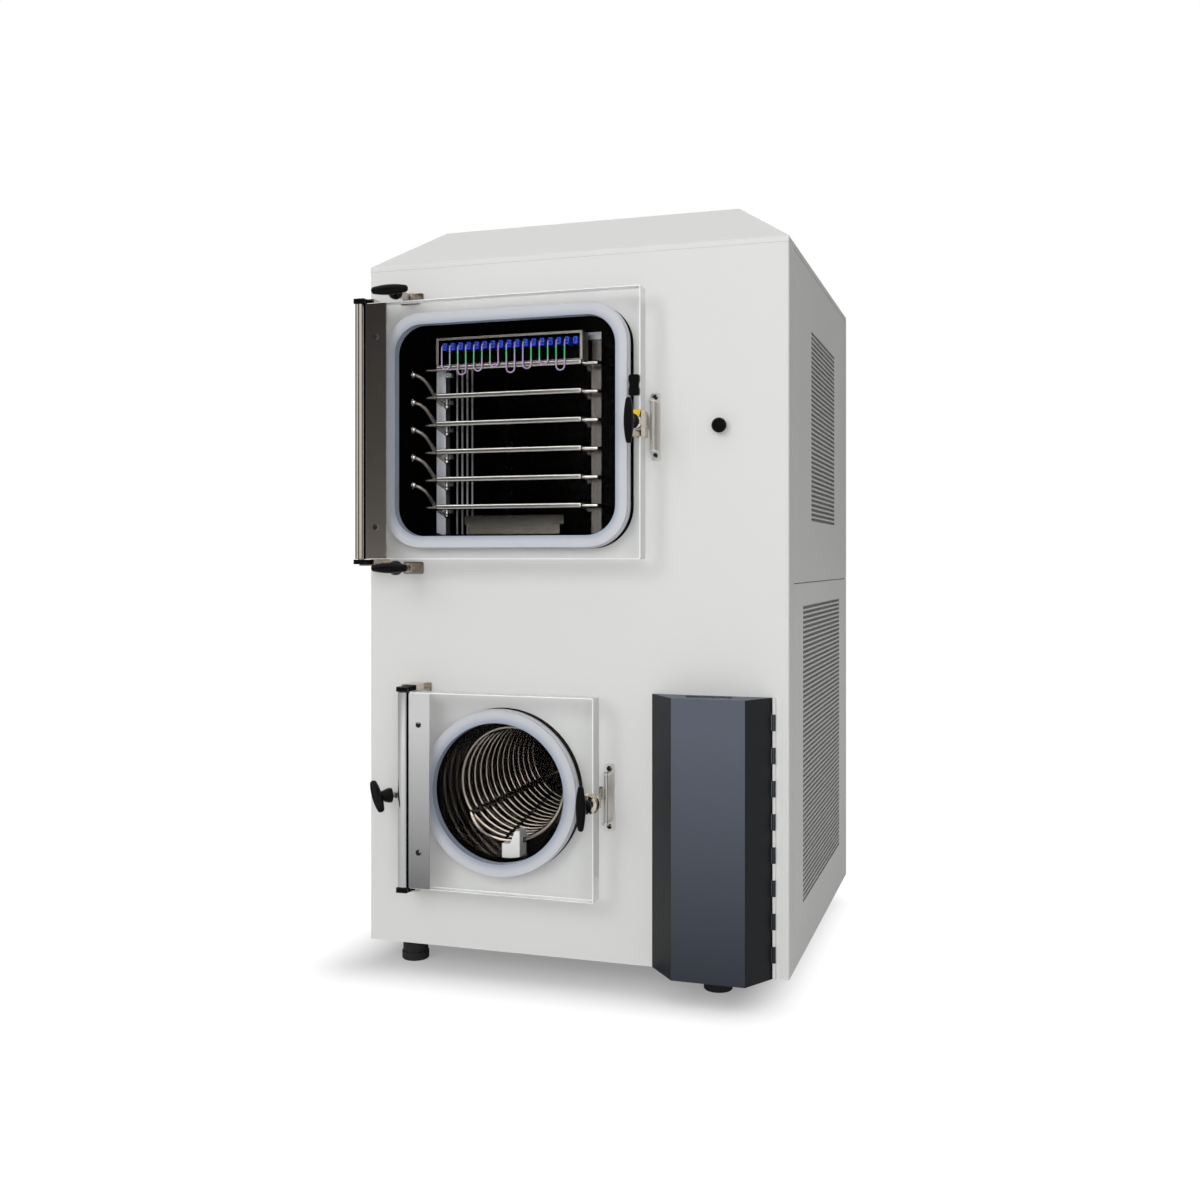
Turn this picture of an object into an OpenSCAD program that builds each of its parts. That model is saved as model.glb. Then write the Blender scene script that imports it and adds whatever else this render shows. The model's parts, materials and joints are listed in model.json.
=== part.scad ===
// Floor-standing laboratory freeze dryer: a sheet-metal cabinet with a shelf chamber
// above and a cold-trap (condenser) chamber below, each behind a clear acrylic door,
// and a vacuum pump in a bay behind a hinged cover.
// Inside cab() X runs right from the left side, Y back from the front face and Z up
// from the cabinet's underside.

/* [Cabinet] */
// Width of the cabinet
cab_w = 836; // [830:1:1100]
// Depth of the cabinet
cab_d = 824; // [790:1:1100]
// Height of the cabinet, from its underside to the hood's seam
cab_h = 1325; // [1310:1:1600]
// Thickness of the painted sheet
sheet = 2; // [1.2:0.1:3]
// Depth of the front panel's side returns
return_d = 53; // [40:1:70]
// Outside radius of the front panel's vertical corners
corner_r = 4; // [3.5:0.5:8]
// Width of the seams between panels
seam = 1.6; // [0.8:0.1:3]
// Height of the seam between the upper and lower side panels
side_seam_z = 710; // [690:1:740]
// Height of the hood's upright lip
hood_lip = 11; // [6:1:20]
// Height of the hood above the seam
hood_rise = 98; // [60:1:150]
// How far the hood's flat top is set in on every side
hood_inset = 114; // [60:1:180]
// Outside size of the frame's square tube
tube = 30; // [24:1:32]
// Wall of the frame's tube
tube_wall = 2; // [1.5:0.5:4]
// Height of the feet
foot_h = 48; // [30:1:80]
// Diameter of the feet
foot_d = 54; // [40:1:60]
// Distance of the left feet from the left side
foot_left = 70; // [50:1:120]
// Distance of the right feet from the right side
foot_right = 143; // [60:1:170]
// Distance of the feet from the front and back
foot_in = 60; // [40:1:100]

/* [Side vents] */
// Spacing of the holes
hole_pitch = 24; // [20:0.5:26]
// Diameter of a hole
hole_d = 17; // [10:0.5:18]
// Columns of holes in an upper side panel
upper_cols = 14; // [10:1:16]
// Rows of holes in an upper side panel
upper_rows = 16; // [10:1:17]
// Distance of the upper holes from the front face
upper_y = 267; // [240:1:300]
// Height of the upper holes' lower edge
upper_z = 830; // [780:1:860]
// Columns of holes in a lower side panel
lower_cols = 22; // [16:1:23]
// Rows of holes in a lower side panel
lower_rows = 24; // [16:1:24]
// Distance of the lower holes from the front face
lower_y = 161; // [140:1:190]
// Height of the lower holes' lower edge
lower_z = 97; // [80:1:110]

/* [Product chamber] */
// Centre of the chamber, from the cabinet's left side
chm_x = 302.5; // [300:0.5:310]
// Centre of the chamber, above the cabinet's underside
chm_z = 1003; // [1000:1:1010]
// Width inside
chm_w = 438; // [430:1:450]
// Height inside
chm_h = 399; // [390:1:410]
// Depth inside
chm_d = 468; // [440:1:520]
// Radius of the inside corners
chm_r = 52; // [40:1:60]
// Thickness of the chamber's walls
chm_wall = 4; // [3:0.5:8]
// Width of both door seals
seal_w = 26; // [22:1:30]
// How far both door seals stand out of the front face
seal_out = 39; // [30:1:44]
// Thickness of the flanges behind the front panel
flange_t = 8; // [6:1:12]
// Width of the flanges outside the seals
flange_w = 18; // [14:1:22]

/* [Shelves] */
// Number of shelves
shelf_n = 6; // [3:1:6]
// Width of a shelf
shelf_w = 304; // [280:1:310]
// Depth of a shelf
shelf_d = 420; // [350:1:425]
// Thickness of a shelf
shelf_t = 11; // [8:0.5:14]
// Distance from one shelf to the next
shelf_pitch = 54.6; // [46:0.2:55]
// Centre of the shelves, from the cabinet's left side
shelf_x = 287; // [284:1:304]
// Middle of the lowest shelf
shelf_z = 857.5; // [854:0.5:860]
// Distance of the shelves' front edges behind the front face
shelf_y = 25; // [20:1:32]
// Width of a rack post
post_w = 20; // [14:1:21]
// Radius of the shelves' fluid tubes
fluid_r = 4; // [3:0.5:5]

/* [Sensor panel] */
// Number of sensor sockets
socket_n = 17; // [9:1:17]
// Spacing of the sockets
socket_pitch = 17; // [15:0.5:17.5]
// Height of the sensor panel
sensor_h = 55; // [48:1:56]
// Depth of the sensor panel
sensor_d = 36; // [30:1:45]
// Thickness of a sensor lead
lead_d = 2.6; // [2:0.2:4]

/* [Condenser chamber] */
// Centre of the chamber, from the cabinet's left side
con_x = 292.5; // [290:0.5:296]
// Centre of the chamber, above the cabinet's underside
con_z = 313; // [300:1:330]
// Radius inside the chamber
con_r = 131; // [125:1:134]
// Depth inside the chamber
con_d = 472; // [440:1:474]
// Radius of the coil, to the middle of its tube
coil_r = 110; // [100:1:112]
// Radius of the coil's tube
coil_tube = 5; // [4:0.5:6.5]
// Distance from one turn to the next
coil_pitch = 30; // [24:0.5:30.5]
// Number of whole turns
coil_turns = 14; // [8:1:14]
// How far the coil's middle lies left of the chamber's
coil_left = 3; // [0:0.5:6]
// How far the coil's middle lies above the chamber's
coil_up = 6; // [0:0.5:8]
// Distance of the first turn behind the front face
coil_y = 34; // [30:1:36]
// Radius of the duct that joins the two chambers
duct_r = 48; // [35:1:55]

/* [Doors] */
// Thickness of the acrylic plates
door_t = 36; // [28:1:40]
// Width of the product door's plate
pdoor_w = 550; // [546:1:560]
// Height of the product door's plate
pdoor_h = 494; // [488:1:510]
// Width of the condenser door's plate
cdoor_w = 370; // [364:1:380]
// Height of the condenser door's plate
cdoor_h = 374; // [366:1:390]
// Radius of the plates' corners
plate_r = 3; // [1:0.5:6]
// Radius of the hinge barrels
barrel_r = 11.4; // [9:0.2:12]
// Radius of the hinge pins
pin_r = 6; // [4:0.5:7]
// Distance from the hinge's axis to the plate's edge
hinge_gap = 15; // [14:0.5:18]
// Width of the hinge leaves, from the hinge's axis
leaf_w = 59; // [45:1:64]
// Thickness of the hinge leaves
leaf_t = 2; // [1.5:0.5:3]
// Height of the black hinge blocks
block_h = 9; // [7:0.5:14]
// Width of the hinge blocks
block_w = 23; // [20:0.5:26]

/* [Latches] */
// Length of the latch handles' bars
bar_l = 82; // [70:1:100]
// Radius of the handles' bars at the middle
bar_r = 9; // [7:0.5:11]
// Radius of the handles' skirts
skirt_r = 16.5; // [13:0.5:18]
// Distance of the handles' bars in front of the plate
bar_out = 53; // [48:1:70]
// Radius of the latch spindles
spindle_r = 5; // [4:0.5:6]
// Height of the strikes
strike_h = 124; // [116:1:140]
// Width of the strikes
strike_w = 18; // [16:1:22]
// Length of the yellow latch keepers
keeper_h = 48; // [42:1:60]

/* [Clamps] */
// Distance from a clamp's pivot to its knob's bar
clamp_l = 84; // [78:1:90]
// Length of the clamp knobs' bars
knob_l = 62; // [50:1:66]
// Radius of the clamp knobs' skirts
knob_skirt = 12.5; // [10:0.5:13]
// Distance of the clamps' pivots in front of the front face
pivot_out = 20; // [17:1:24]
// Place of the product door's clamps, from the cabinet's left side
clamp_x = 95; // [90:1:110]
// Gap between the product door's edge and its clamps' middle line
clamp_gap = 16.5; // [15:0.5:24]
// Angle of the condenser door's clamp, away from straight forward
clamp_turn = 46; // [40:1:55]

/* [Pump bay] */
// Left edge of the pump cover, from the cabinet's left side
cover_x = 581.6; // [578:0.5:590]
// Width of the pump cover at the front face
cover_w = 225.4; // [215:0.2:228]
// Depth of the pump cover
cover_d = 66; // [50:1:90]
// Height of the pump cover
cover_h = 506; // [490:1:530]
// Width of the cover's left slope
cover_slope_l = 53; // [30:1:70]
// Width of the cover's right slope
cover_slope_r = 38; // [20:1:50]
// Depth of the bay
bay_d = 440; // [420:1:480]
// Number of knuckles on the cover's hinge
knuckle_n = 17; // [7:2:21]

/* [Controls] */
// Place of the push button, from the cabinet's left side
button_x = 711; // [700:1:730]
// Height of the push button
button_z = 998; // [960:1:1040]
// Diameter of the button's head
button_d = 27; // [22:1:34]
// Travel of the button
button_travel = 5; // [3:0.5:7]

/* [Hidden] */
$fn = 96;
clear = 0.08;            // running clearance, on the radius
gap = 0.5;               // clearance between pieces that do not touch
weld = 0.2;              // gap at the welded joints between lengths of tube or bar
plug = 6;                // how far a cutter runs past a face
bar_proud = seal_out + door_t + bar_out + bar_r;   // front edge of the latch handles
rear_proud = 30;         // end of the vacuum port, behind the rear panel
front_y = (bar_proud - cab_d - rear_proud) / 2;

// doors
door_back = -seal_out;                       // back face of both plates
door_front = door_back - door_t;             // front face of both plates
axis_y = door_front - leaf_t + barrel_r - 0.4;
pdoor_x = chm_x - 272.5;                     // left edge of the product door's plate
pdoor_z = chm_z - pdoor_h / 2 - 1;
paxis_x = pdoor_x - hinge_gap;
cdoor_x = con_x - 171.5;                     // left edge of the condenser door's plate
cdoor_z = con_z - cdoor_h / 2 + 1.5;
caxis_x = cdoor_x - hinge_gap;
// latches
latch_in = 6;                                // spindle's distance inside the plate's edge
platch_x = pdoor_x + pdoor_w - latch_in;
platch_z = chm_z - 3;
clatch_x = cdoor_x + cdoor_w - latch_in;
clatch_z = con_z - 3;
bar_y = door_front - bar_out;
notch_r = spindle_r + 3;
keeper_t = 3;
spindle_tip = -10;                           // back end of a latch spindle
hook_l = 21;                                 // reach of a spindle's hook
hook_t = 6;
catch_y = -22;                               // centre of a strike's pin
catch_r = 4;
catch_dx = spindle_r + catch_r + 5;          // from the spindle to the strike's pin
// clamps
eye_r = 9;
shank_t = 10;
clamp_rod = 5;
ear_t = 3;
sclamp_x = caxis_x + 10;
sclamp_z = con_z - 13;
tclamp_z = pdoor_z + pdoor_h + clamp_gap;
bclamp_z = pdoor_z - clamp_gap;
clamp_pin = 4;
// seals
seal_outer_w = chm_w + 2 * seal_w;
seal_outer_h = chm_h + 2 * seal_w;
seal_outer_r = chm_r - 2 + seal_w;
con_seal_r = con_r - 2;                      // inside radius of the condenser's seal
con_seal_R = con_seal_r + seal_w + 1.5;
// chambers
chm_y0 = sheet + flange_t;                   // where a chamber's tube starts
chm_floor = chm_z - chm_h / 2;
chm_left = chm_x - chm_w / 2;
chm_end = sheet + chm_d;
con_end = sheet + con_d;
// shelves
shelf_top = shelf_z + (shelf_n - 1) * shelf_pitch + shelf_t / 2;
shelf_l = shelf_x - shelf_w / 2;
shelf_rt = shelf_x + shelf_w / 2;
post_gap = 2;
post_y1 = shelf_y + 55;
post_y2 = shelf_y + shelf_d - 45;
post_top = chm_z + chm_h / 2 - 8;
rod_n = 4;                                   // thin rods in the rack's left side
rod_y1 = post_y1 + 78;
rod_pitch = 26;
header_y = chm_end - 18;
bend_r = 10;
// feed hoses between the chamber's left wall and the shelves
hose_r = 3.5;
hose_ball = 5.5;                             // round body of a hose's end fitting
hose_y = 24;                                 // depth at which a hose leaves the wall
hose_rise = 44;                              // height of that place above the shelf's middle
hose_drop = 10;                              // from the shelf's underside to its fitting
hose_end_x = shelf_l + 5;
hose_end_y = post_y1 - 10;
// pump bay and cover
bay_x = cover_x + 18;
bay_w = cover_w - 34;
bay_z = 22;
bay_h = cover_h - 38;
hinge_x = cover_x + cover_w + 2.5;
hinge_y = -4.4;
knuckle_r = 3;
knuckle_h = cover_h / knuckle_n;
// duct and fan
duct_y = 330;
fan_x = 375;
fan_z = 552;
fan_y = cab_d - 150;

// ---------- helpers ----------

// the cabinet's own corner, seen from the middle of the whole part's footprint
module cab() translate([-cab_w / 2, front_y, foot_h]) children();

// a flat outline in X and Z, made solid from y0 back to y1
module slab(y0, y1)
  translate([0, y1, 0]) rotate([90, 0, 0]) linear_extrude(y1 - y0) children();

// a rectangle with round corners, about its own centre
module rrect(w, h, r) {
  square([w - 2 * r, h], center = true);
  square([w, h - 2 * r], center = true);
  for (x = [-1, 1], y = [-1, 1])
    translate([x * (w / 2 - r), y * (h / 2 - r)]) circle(r);
}

module rod_x(x0, x1, y, z, r) translate([x0, y, z]) rotate([0, 90, 0]) cylinder(r = r, h = x1 - x0);
module rod_y(x, y0, y1, z, r) translate([x, y0, z]) rotate([-90, 0, 0]) cylinder(r = r, h = y1 - y0);
module rod_z(x, y, z0, z1, r) translate([x, y, z0]) cylinder(r = r, h = z1 - z0);
module box(x0, x1, y0, y1, z0, z1) translate([x0, y0, z0]) cube([x1 - x0, y1 - y0, z1 - z0]);

// the same shape on the right side and, mirrored, on the left
module both_sides() {
  children();
  translate([cab_w, 0, 0]) mirror([1, 0, 0]) children();
}

// a tube swept along a path: each ring of n points is squared up to the direction in ref
function unit(v) = v / norm(v);
function path_dir(p, i) = unit(p[min(i + 1, len(p) - 1)] - p[max(i - 1, 0)]);
function path_ring(p, ref, i, r, n) =
  let (t = path_dir(p, i), u = unit(ref[i] - (ref[i] * t) * t), v = cross(t, u))
  [for (k = [0:n - 1]) p[i] + r * (cos(360 * k / n) * u + sin(360 * k / n) * v)];

module swept_tube(p, ref, r, n) {
  last = len(p) - 1;
  points = [for (i = [0:last]) each path_ring(p, ref, i, r, n)];
  sides = [for (i = [0:last - 1], k = [0:n - 1]) let (m = (k + 1) % n)
    [i * n + k, i * n + m, (i + 1) * n + m, (i + 1) * n + k]];
  ends = [[for (k = [0:n - 1]) n - 1 - k], [for (k = [0:n - 1]) last * n + k]];
  polyhedron(points, concat(sides, ends), convexity = 10);
}

// ---------- cabinet ----------

module front_panel() cab() color("gainsboro") difference() {
  linear_extrude(cab_h) difference() {
    intersection() {
      translate([cab_w / 2, cab_d / 2]) rrect(cab_w, cab_d, corner_r);
      square([cab_w, return_d]);
    }
    translate([cab_w / 2, cab_d / 2]) rrect(cab_w - 2 * sheet, cab_d - 2 * sheet, corner_r - sheet);
  }
  slab(-plug, plug) {
    translate([chm_x, chm_z])
      rrect(seal_outer_w + 4, seal_outer_h + 4, seal_outer_r + 2);
    translate([con_x, con_z]) circle(con_seal_R + 2);
    translate([bay_x, bay_z]) square([bay_w, bay_h]);
    translate([button_x, button_z]) circle(6.5);
  }
}

// the hood's hollow, or its outside when grow is 0
module hood_form(t) intersection() {
  slab(t, cab_d - t) polygon([[t, 0], [cab_w - t, 0], [cab_w - t, hood_lip],
    [cab_w - hood_inset, hood_rise - t], [hood_inset, hood_rise - t], [t, hood_lip]]);
  translate([t, 0, 0]) rotate([90, 0, 90]) linear_extrude(cab_w - 2 * t)
    polygon([[t, 0], [cab_d - t, 0], [cab_d - t, hood_lip],
      [cab_d - hood_inset, hood_rise - t], [hood_inset, hood_rise - t], [t, hood_lip]]);
}

module hood() cab() color("gainsboro") translate([0, 0, cab_h]) difference() {
  hood_form(0);
  translate([0, 0, -0.01]) hood_form(sheet);
}

// a side panel, with a field of ventilation holes punched through it
module side_panel(z0, z1, y, z, cols, rows)
  translate([cab_w - sheet, 0, 0]) rotate([90, 0, 90]) linear_extrude(sheet) difference() {
    translate([return_d + seam, z0]) square([cab_d - return_d - seam, z1 - z0]);
    for (i = [0:cols - 1], j = [0:rows - 1])
      translate([y + (i + 0.5) * hole_pitch, z + (j + 0.5) * hole_pitch]) circle(d = hole_d, $fn = 24);
  }

module upper_side_panels() cab() color("silver") both_sides()
  side_panel(side_seam_z + seam / 2, cab_h - seam, upper_y, upper_z, upper_cols, upper_rows);

module lower_side_panels() cab() color("silver") both_sides()
  side_panel(0, side_seam_z - seam / 2, lower_y, lower_z, lower_cols, lower_rows);

module rear_panel() cab() color("silver") slab(cab_d - sheet, cab_d) difference() {
  translate([sheet, 0]) square([cab_w - 2 * sheet, cab_h - seam]);
  // warm air leaves through rows of louvre slots in front of the air condenser
  for (i = [-8:8]) translate([fan_x, fan_z + i * 22]) {
    square([360, 10], center = true);
    for (s = [-1, 1]) translate([s * 180, 0]) circle(5);
  }
  translate([port_x, port_z]) circle(port_r + 1);
  translate([inlet_x, inlet_z]) square([48, 28], center = true);
}

// one length of square tube along X, Y or Z, hollow from end to end
module tube_x(x0, x1, y, z) translate([x0, y, z]) rotate([90, 0, 90]) tube_run(x1 - x0);
module tube_y(x, y0, y1, z) translate([x, y1, z]) rotate([90, 0, 0]) tube_run(y1 - y0);
module tube_z(x, y, z0, z1) translate([x, y, z0]) tube_run(z1 - z0);
module tube_run(l) linear_extrude(l) difference() {
  square(tube);
  translate([tube_wall, tube_wall]) square(tube - 2 * tube_wall);
}

// base pan, four posts and the rails between them, each its own length of tube
module cabinet_frame() cab() color("dimgray") {
  x1 = sheet;
  x2 = cab_w - sheet - tube;
  y1 = return_d + seam + 12;
  y2 = cab_d - sheet - tube;
  pan_t = 3;
  pan_in = sheet + corner_r;
  top_z = cab_h - seam - tube;
  mid_z = chm_floor - chm_wall - 2 * tube - 2 * weld;
  box(pan_in, cab_w - pan_in, pan_in, cab_d - pan_in, 0, pan_t);
  for (x = [x1, x2], y = [y1, y2]) tube_z(x, y, pan_t + weld, top_z + tube);
  for (x = [x1, x2], z = [mid_z, top_z]) tube_y(x, y1 + tube + weld, y2 - weld, z);
  for (y = [y1, y2]) tube_x(x1 + tube + weld, x2 - weld, y, top_z);
  tube_x(x1 + tube + weld, x2 - weld, y2, mid_z);
  // two cross rails on the side rails carry the product chamber
  for (y = [y1 + 120, y1 + 330])
    tube_x(x1 + weld, x2 + tube - weld, y, mid_z + tube + weld);
}

module feet() cab() color([0.1, 0.1, 0.11])
  for (x = [foot_left, cab_w - foot_right], y = [foot_in, cab_d - foot_in])
    translate([x, y, -foot_h]) rotate_extrude() {
      square([foot_d / 2 - 2, foot_h]);
      translate([0, 2]) square([foot_d / 2, 14]);
    }

// ---------- product chamber ----------

module product_chamber() cab() color("silver") difference() {
  union() {
    slab(sheet, chm_y0) translate([chm_x, chm_z])
      rrect(seal_outer_w + 2 * flange_w, seal_outer_h + 2 * flange_w, seal_outer_r + flange_w);
    slab(chm_y0, chm_end + chm_wall) translate([chm_x, chm_z])
      rrect(chm_w + 2 * chm_wall, chm_h + 2 * chm_wall, chm_r + chm_wall);
  }
  slab(-plug, chm_end) translate([chm_x, chm_z]) rrect(chm_w, chm_h, chm_r);
  rod_z(con_x, duct_y, chm_floor - 20, chm_floor + 10, duct_r);
}

// a seal with a narrower lip where it meets the door
module product_seal() cab() color([0.78, 0.80, 0.86]) difference() {
  lip = 4;
  union() {
    slab(-seal_out + 9, sheet) translate([chm_x, chm_z])
      rrect(seal_outer_w, seal_outer_h, seal_outer_r);
    slab(-seal_out, -seal_out + 9) translate([chm_x, chm_z])
      rrect(seal_outer_w - lip, seal_outer_h - lip, seal_outer_r - lip / 2);
  }
  slab(-seal_out - plug, plug) translate([chm_x, chm_z]) rrect(chm_w, chm_h, chm_r);
}

// the chamber's clear space, a little smaller than its walls
module chamber_space() slab(sheet, chm_end) translate([chm_x, chm_z])
  rrect(chm_w - 2 * gap, chm_h - 2 * gap, chm_r - gap);

module shelf_rack() cab() color("lightgray") intersection() {
  chamber_space();
  union() {
    left_x = shelf_l - post_gap - post_w;
    right_x = shelf_rt + post_gap;
    bar_z = post_top - 14;
    rail_z = post_top - 12;
    for (y = [post_y1, post_y2]) {
      // channel posts, open to the back
      for (x = [left_x, right_x]) difference() {
        box(x, x + post_w, y, y + post_w, chm_floor - 10, bar_z - weld);
        box(x + 2, x + post_w - 2, y + 2, y + post_w + plug, chm_floor - 20, post_top);
      }
      // a ledge under each end of each shelf
      for (i = [0:shelf_n - 1], s = [-1, 1])
        box_between(shelf_x + s * (shelf_w / 2 + post_gap + 1), shelf_x + s * (shelf_w / 2 - 8),
          y + 4, y + post_w - 4, shelf_z + i * shelf_pitch - shelf_t / 2 - 4,
          shelf_z + i * shelf_pitch - shelf_t / 2);
      box(left_x, right_x + post_w, y, y + 2, bar_z, post_top);
    }
    // rails join the front bar to the rear one, and thin rods hang from the left rail
    for (x = [left_x, right_x])
      box(x + 1, x + post_w - 1, post_y1 + 2 + weld, post_y2 - weld, rail_z, rail_z + 4);
    for (k = [0:rod_n - 1])
      rod_z(left_x + post_w / 2, rod_y1 + k * rod_pitch, chm_floor - 1, rail_z - weld, 2.2);
  }
}

// a box whose X ends may be given in either order
module box_between(xa, xb, y0, y1, z0, z1) box(min(xa, xb), max(xa, xb), y0, y1, z0, z1);

module shelves() cab() color("silver")
  for (i = [0:shelf_n - 1])
    translate([shelf_x, shelf_y + shelf_d / 2, shelf_z - shelf_t / 2 + i * shelf_pitch])
      linear_extrude(shelf_t) rrect(shelf_w, shelf_d, 4);

// on the right each shelf's tube turns back and meets an upright header; on the left is a
// closed stub, and behind it the fittings of the feed hose
module fluid_tubes() cab() color("lightgray") {
  run_x = shelf_rt + post_gap + post_w + 3 + fluid_r;
  stub_x = shelf_l - 32;
  y0 = shelf_y + 22;
  union() {
    for (i = [0:shelf_n - 1]) translate([0, 0, shelf_z + i * shelf_pitch]) {
      rod_x(shelf_rt, run_x - bend_r, y0, 0, fluid_r);
      translate([run_x - bend_r, y0 + bend_r, 0])
        rotate([0, 0, -90]) rotate_extrude(angle = 90)
          translate([bend_r, 0]) circle(fluid_r, $fn = 32);
      rod_y(run_x, y0 + bend_r, header_y, 0, fluid_r);
    }
    rod_z(run_x, header_y, shelf_z - 14, shelf_top + 10, fluid_r + 4);
    rod_y(run_x, header_y, chm_end, shelf_z + 10, fluid_r + 3);
  }
  for (i = [0:shelf_n - 1]) translate([0, 0, shelf_z + i * shelf_pitch]) {
    rod_x(stub_x + fluid_r, shelf_l, y0, 0, fluid_r);
    translate([stub_x + fluid_r, y0, 0]) sphere(fluid_r, $fn = 32);
    if (i < shelf_n - 1) {
      rod_z(hose_end_x, hose_end_y, shelf_ball[2], -shelf_t / 2, hose_r);
      translate([chm_left, hose_y, hose_rise]) rotate([0, 90, 0])
        cylinder(r = hose_ball + 1.5, h = 4, $fn = 6);
      for (centre = [wall_ball, shelf_ball]) translate(centre) sphere(hose_ball, $fn = 32);
    }
  }
}

// feed hoses: out of the wall, down past the stub and into the fitting under the shelf;
// the topmost shelf has none
wall_ball = [chm_left + hose_ball + 0.5, hose_y, hose_rise];
shelf_ball = [hose_end_x, hose_end_y, -shelf_t / 2 - hose_drop];
hose_out = unit([0.92, 0.22, -0.32]);
hose_in = unit([0.80, 0.35, -0.48]);
hose_from = wall_ball + (hose_ball + weld) * hose_out;
hose_to = shelf_ball - (hose_ball + weld) * hose_in;
hose_pull = 32;
hose_ctrl = [hose_from, hose_from + hose_pull * hose_out, hose_to - hose_pull * hose_in, hose_to];
function bezier(c, t) = pow(1 - t, 3) * c[0] + 3 * pow(1 - t, 2) * t * c[1]
  + 3 * (1 - t) * t * t * c[2] + pow(t, 3) * c[3];
hose_path = [for (k = [0:15]) bezier(hose_ctrl, k / 15)];

module shelf_hoses() cab() color("dimgray")
  for (i = [0:shelf_n - 2]) translate([0, 0, shelf_z + i * shelf_pitch])
    swept_tube(hose_path, [for (q = hose_path) [0, 1, 0]], hose_r, 8);

// ---------- sensor panel ----------

sensor_x = shelf_x - shelf_w / 2;
sensor_y = shelf_y + 5;
sensor_z = shelf_top;
socket_x = shelf_x - (socket_n - 1) * socket_pitch / 2;
socket_z = sensor_z + sensor_h - 17;
socket_y = sensor_y + 6;

module sensor_panel() cab() color("silver") {
  t = 1.5;
  rim = 5;
  difference() {
    box(sensor_x, sensor_x + shelf_w, sensor_y, sensor_y + sensor_d, sensor_z, sensor_z + sensor_h);
    box(sensor_x + t, sensor_x + shelf_w - t, sensor_y + t, sensor_y + sensor_d - t,
      sensor_z + t, sensor_z + sensor_h - t);
    box(sensor_x + rim, sensor_x + shelf_w - rim, sensor_y - plug, sensor_y + t + 1,
      sensor_z + t, sensor_z + sensor_h - rim);
  }
}

module sensor_sockets() cab() color("royalblue")
  for (i = [0:socket_n - 1]) translate([socket_x + i * socket_pitch, 0, socket_z]) difference() {
    slab(socket_y, sensor_y + sensor_d - 1.5) rrect(9, 14, 2);
    slab(socket_y - plug, socket_y + 4) rrect(5, 9, 1);
  }

// sensor leads parked as loops, each with both ends in neighbouring sockets: forward out
// of the socket, down in front of the panel, round and up again
lead_y = min(sensor_y, shelf_y) - lead_d;
lead_bend = 5.5;
lead_sides = 6;
function lead_drop(i) = 38 + 6 * (i % 3);
function lead_leg(x) = concat([[x, socket_y + 3, socket_z]], [for (a = [0:30:90])
  [x, lead_y + lead_bend - lead_bend * sin(a), socket_z - lead_bend + lead_bend * cos(a)]]);
function lead_path(i) =
  let (x = socket_x + i * socket_pitch, r = socket_pitch / 2, up = lead_leg(x + socket_pitch))
  concat(lead_leg(x),
    [for (a = [0:22.5:180]) [x + r - r * cos(a), lead_y, socket_z - lead_drop(i) - r * sin(a)]],
    [for (k = [len(up) - 1:-1:0]) up[k]]);

module sensor_leads() cab()
  for (i = [0:2:socket_n - 2]) color(i % 4 == 0 ? "mediumseagreen" : "plum") {
    path = lead_path(i);
    swept_tube(path, [for (q = path) [1, 1, 0]], lead_d / 2, lead_sides);
  }

module drip_tray() cab() color("silver") {
  x0 = shelf_x - 96;
  x1 = shelf_x + 95;
  y0 = post_y1 - 20;
  y1 = y0 + 200;
  top = chm_floor + 38;
  t = 1.5;
  difference() {
    box(x0, x1, y0, y1, chm_floor, top);
    box(x0 + t, x1 - t, y0 + t, y1 - t, chm_floor + t, top + plug);
  }
  for (x = [x0 - 8, x1]) box(x, x + 8, y0, y0 + t, top - 18, top);
}

// ---------- condenser chamber ----------

module condenser_chamber() cab() color("silver") difference() {
  union() {
    rod_y(con_x, sheet, chm_y0, con_z, con_seal_R + flange_w);
    rod_y(con_x, chm_y0, con_end + chm_wall, con_z, con_r + chm_wall);
  }
  rod_y(con_x, -plug, con_end, con_z, con_r);
  rod_z(con_x, duct_y, con_z, con_z + con_r + 20, duct_r);
}

module condenser_seal() cab() color([0.78, 0.80, 0.86])
  translate([con_x, 0, con_z]) rotate([-90, 0, 0]) rotate_extrude($fn = 144) {
    translate([con_seal_r, -seal_out + 9]) square([con_seal_R - con_seal_r, seal_out - 9 + sheet]);
    translate([con_seal_r, -seal_out]) square([con_seal_R - con_seal_r - 2, 10]);
  }

// the coil: a cold tube runs in from the back, turns into a helix at the front and
// winds its way back to the rear wall
coil_steps = 26;          // steps in one turn
coil_sides = 8;           // sides of the tube
coil_start = 250;         // angle at which the helix starts
return_r = coil_r - 17;   // radius at which the inlet runs forward
coil_len = coil_turns * coil_pitch;

// a point of the coil: angle, radius and depth
function coil_point(a, r, y) = [r * cos(a), y, r * sin(a)];
inlet_path = [for (k = [0:6]) coil_point(coil_start - 34, return_r, con_end - k * (con_end - coil_y + 12) / 6)];
turn_path = [for (k = [1:5]) coil_point(coil_start - 34 + 34 * k / 6,
  return_r + (coil_r - return_r) * k / 6, coil_y - 14 - 6 * sin(30 * k) + 9 * k / 6)];
helix_path = [for (k = [0:coil_turns * coil_steps])
  coil_point(coil_start + 360 * k / coil_steps, coil_r, coil_y + coil_pitch * k / coil_steps)];
outlet_path = [for (k = [1:4]) coil_point(coil_start + 6 * min(k, 3), coil_r,
  coil_y + coil_len + (con_end - coil_y - coil_len) * k / 4)];
coil_path = concat(inlet_path, turn_path, helix_path, outlet_path);

module condenser_coil() cab() color("silver")
  translate([con_x - coil_left, 0, con_z + coil_up])
    swept_tube(coil_path, [for (q = coil_path) [q[0], 0, q[2]]], coil_tube, coil_sides);

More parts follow.
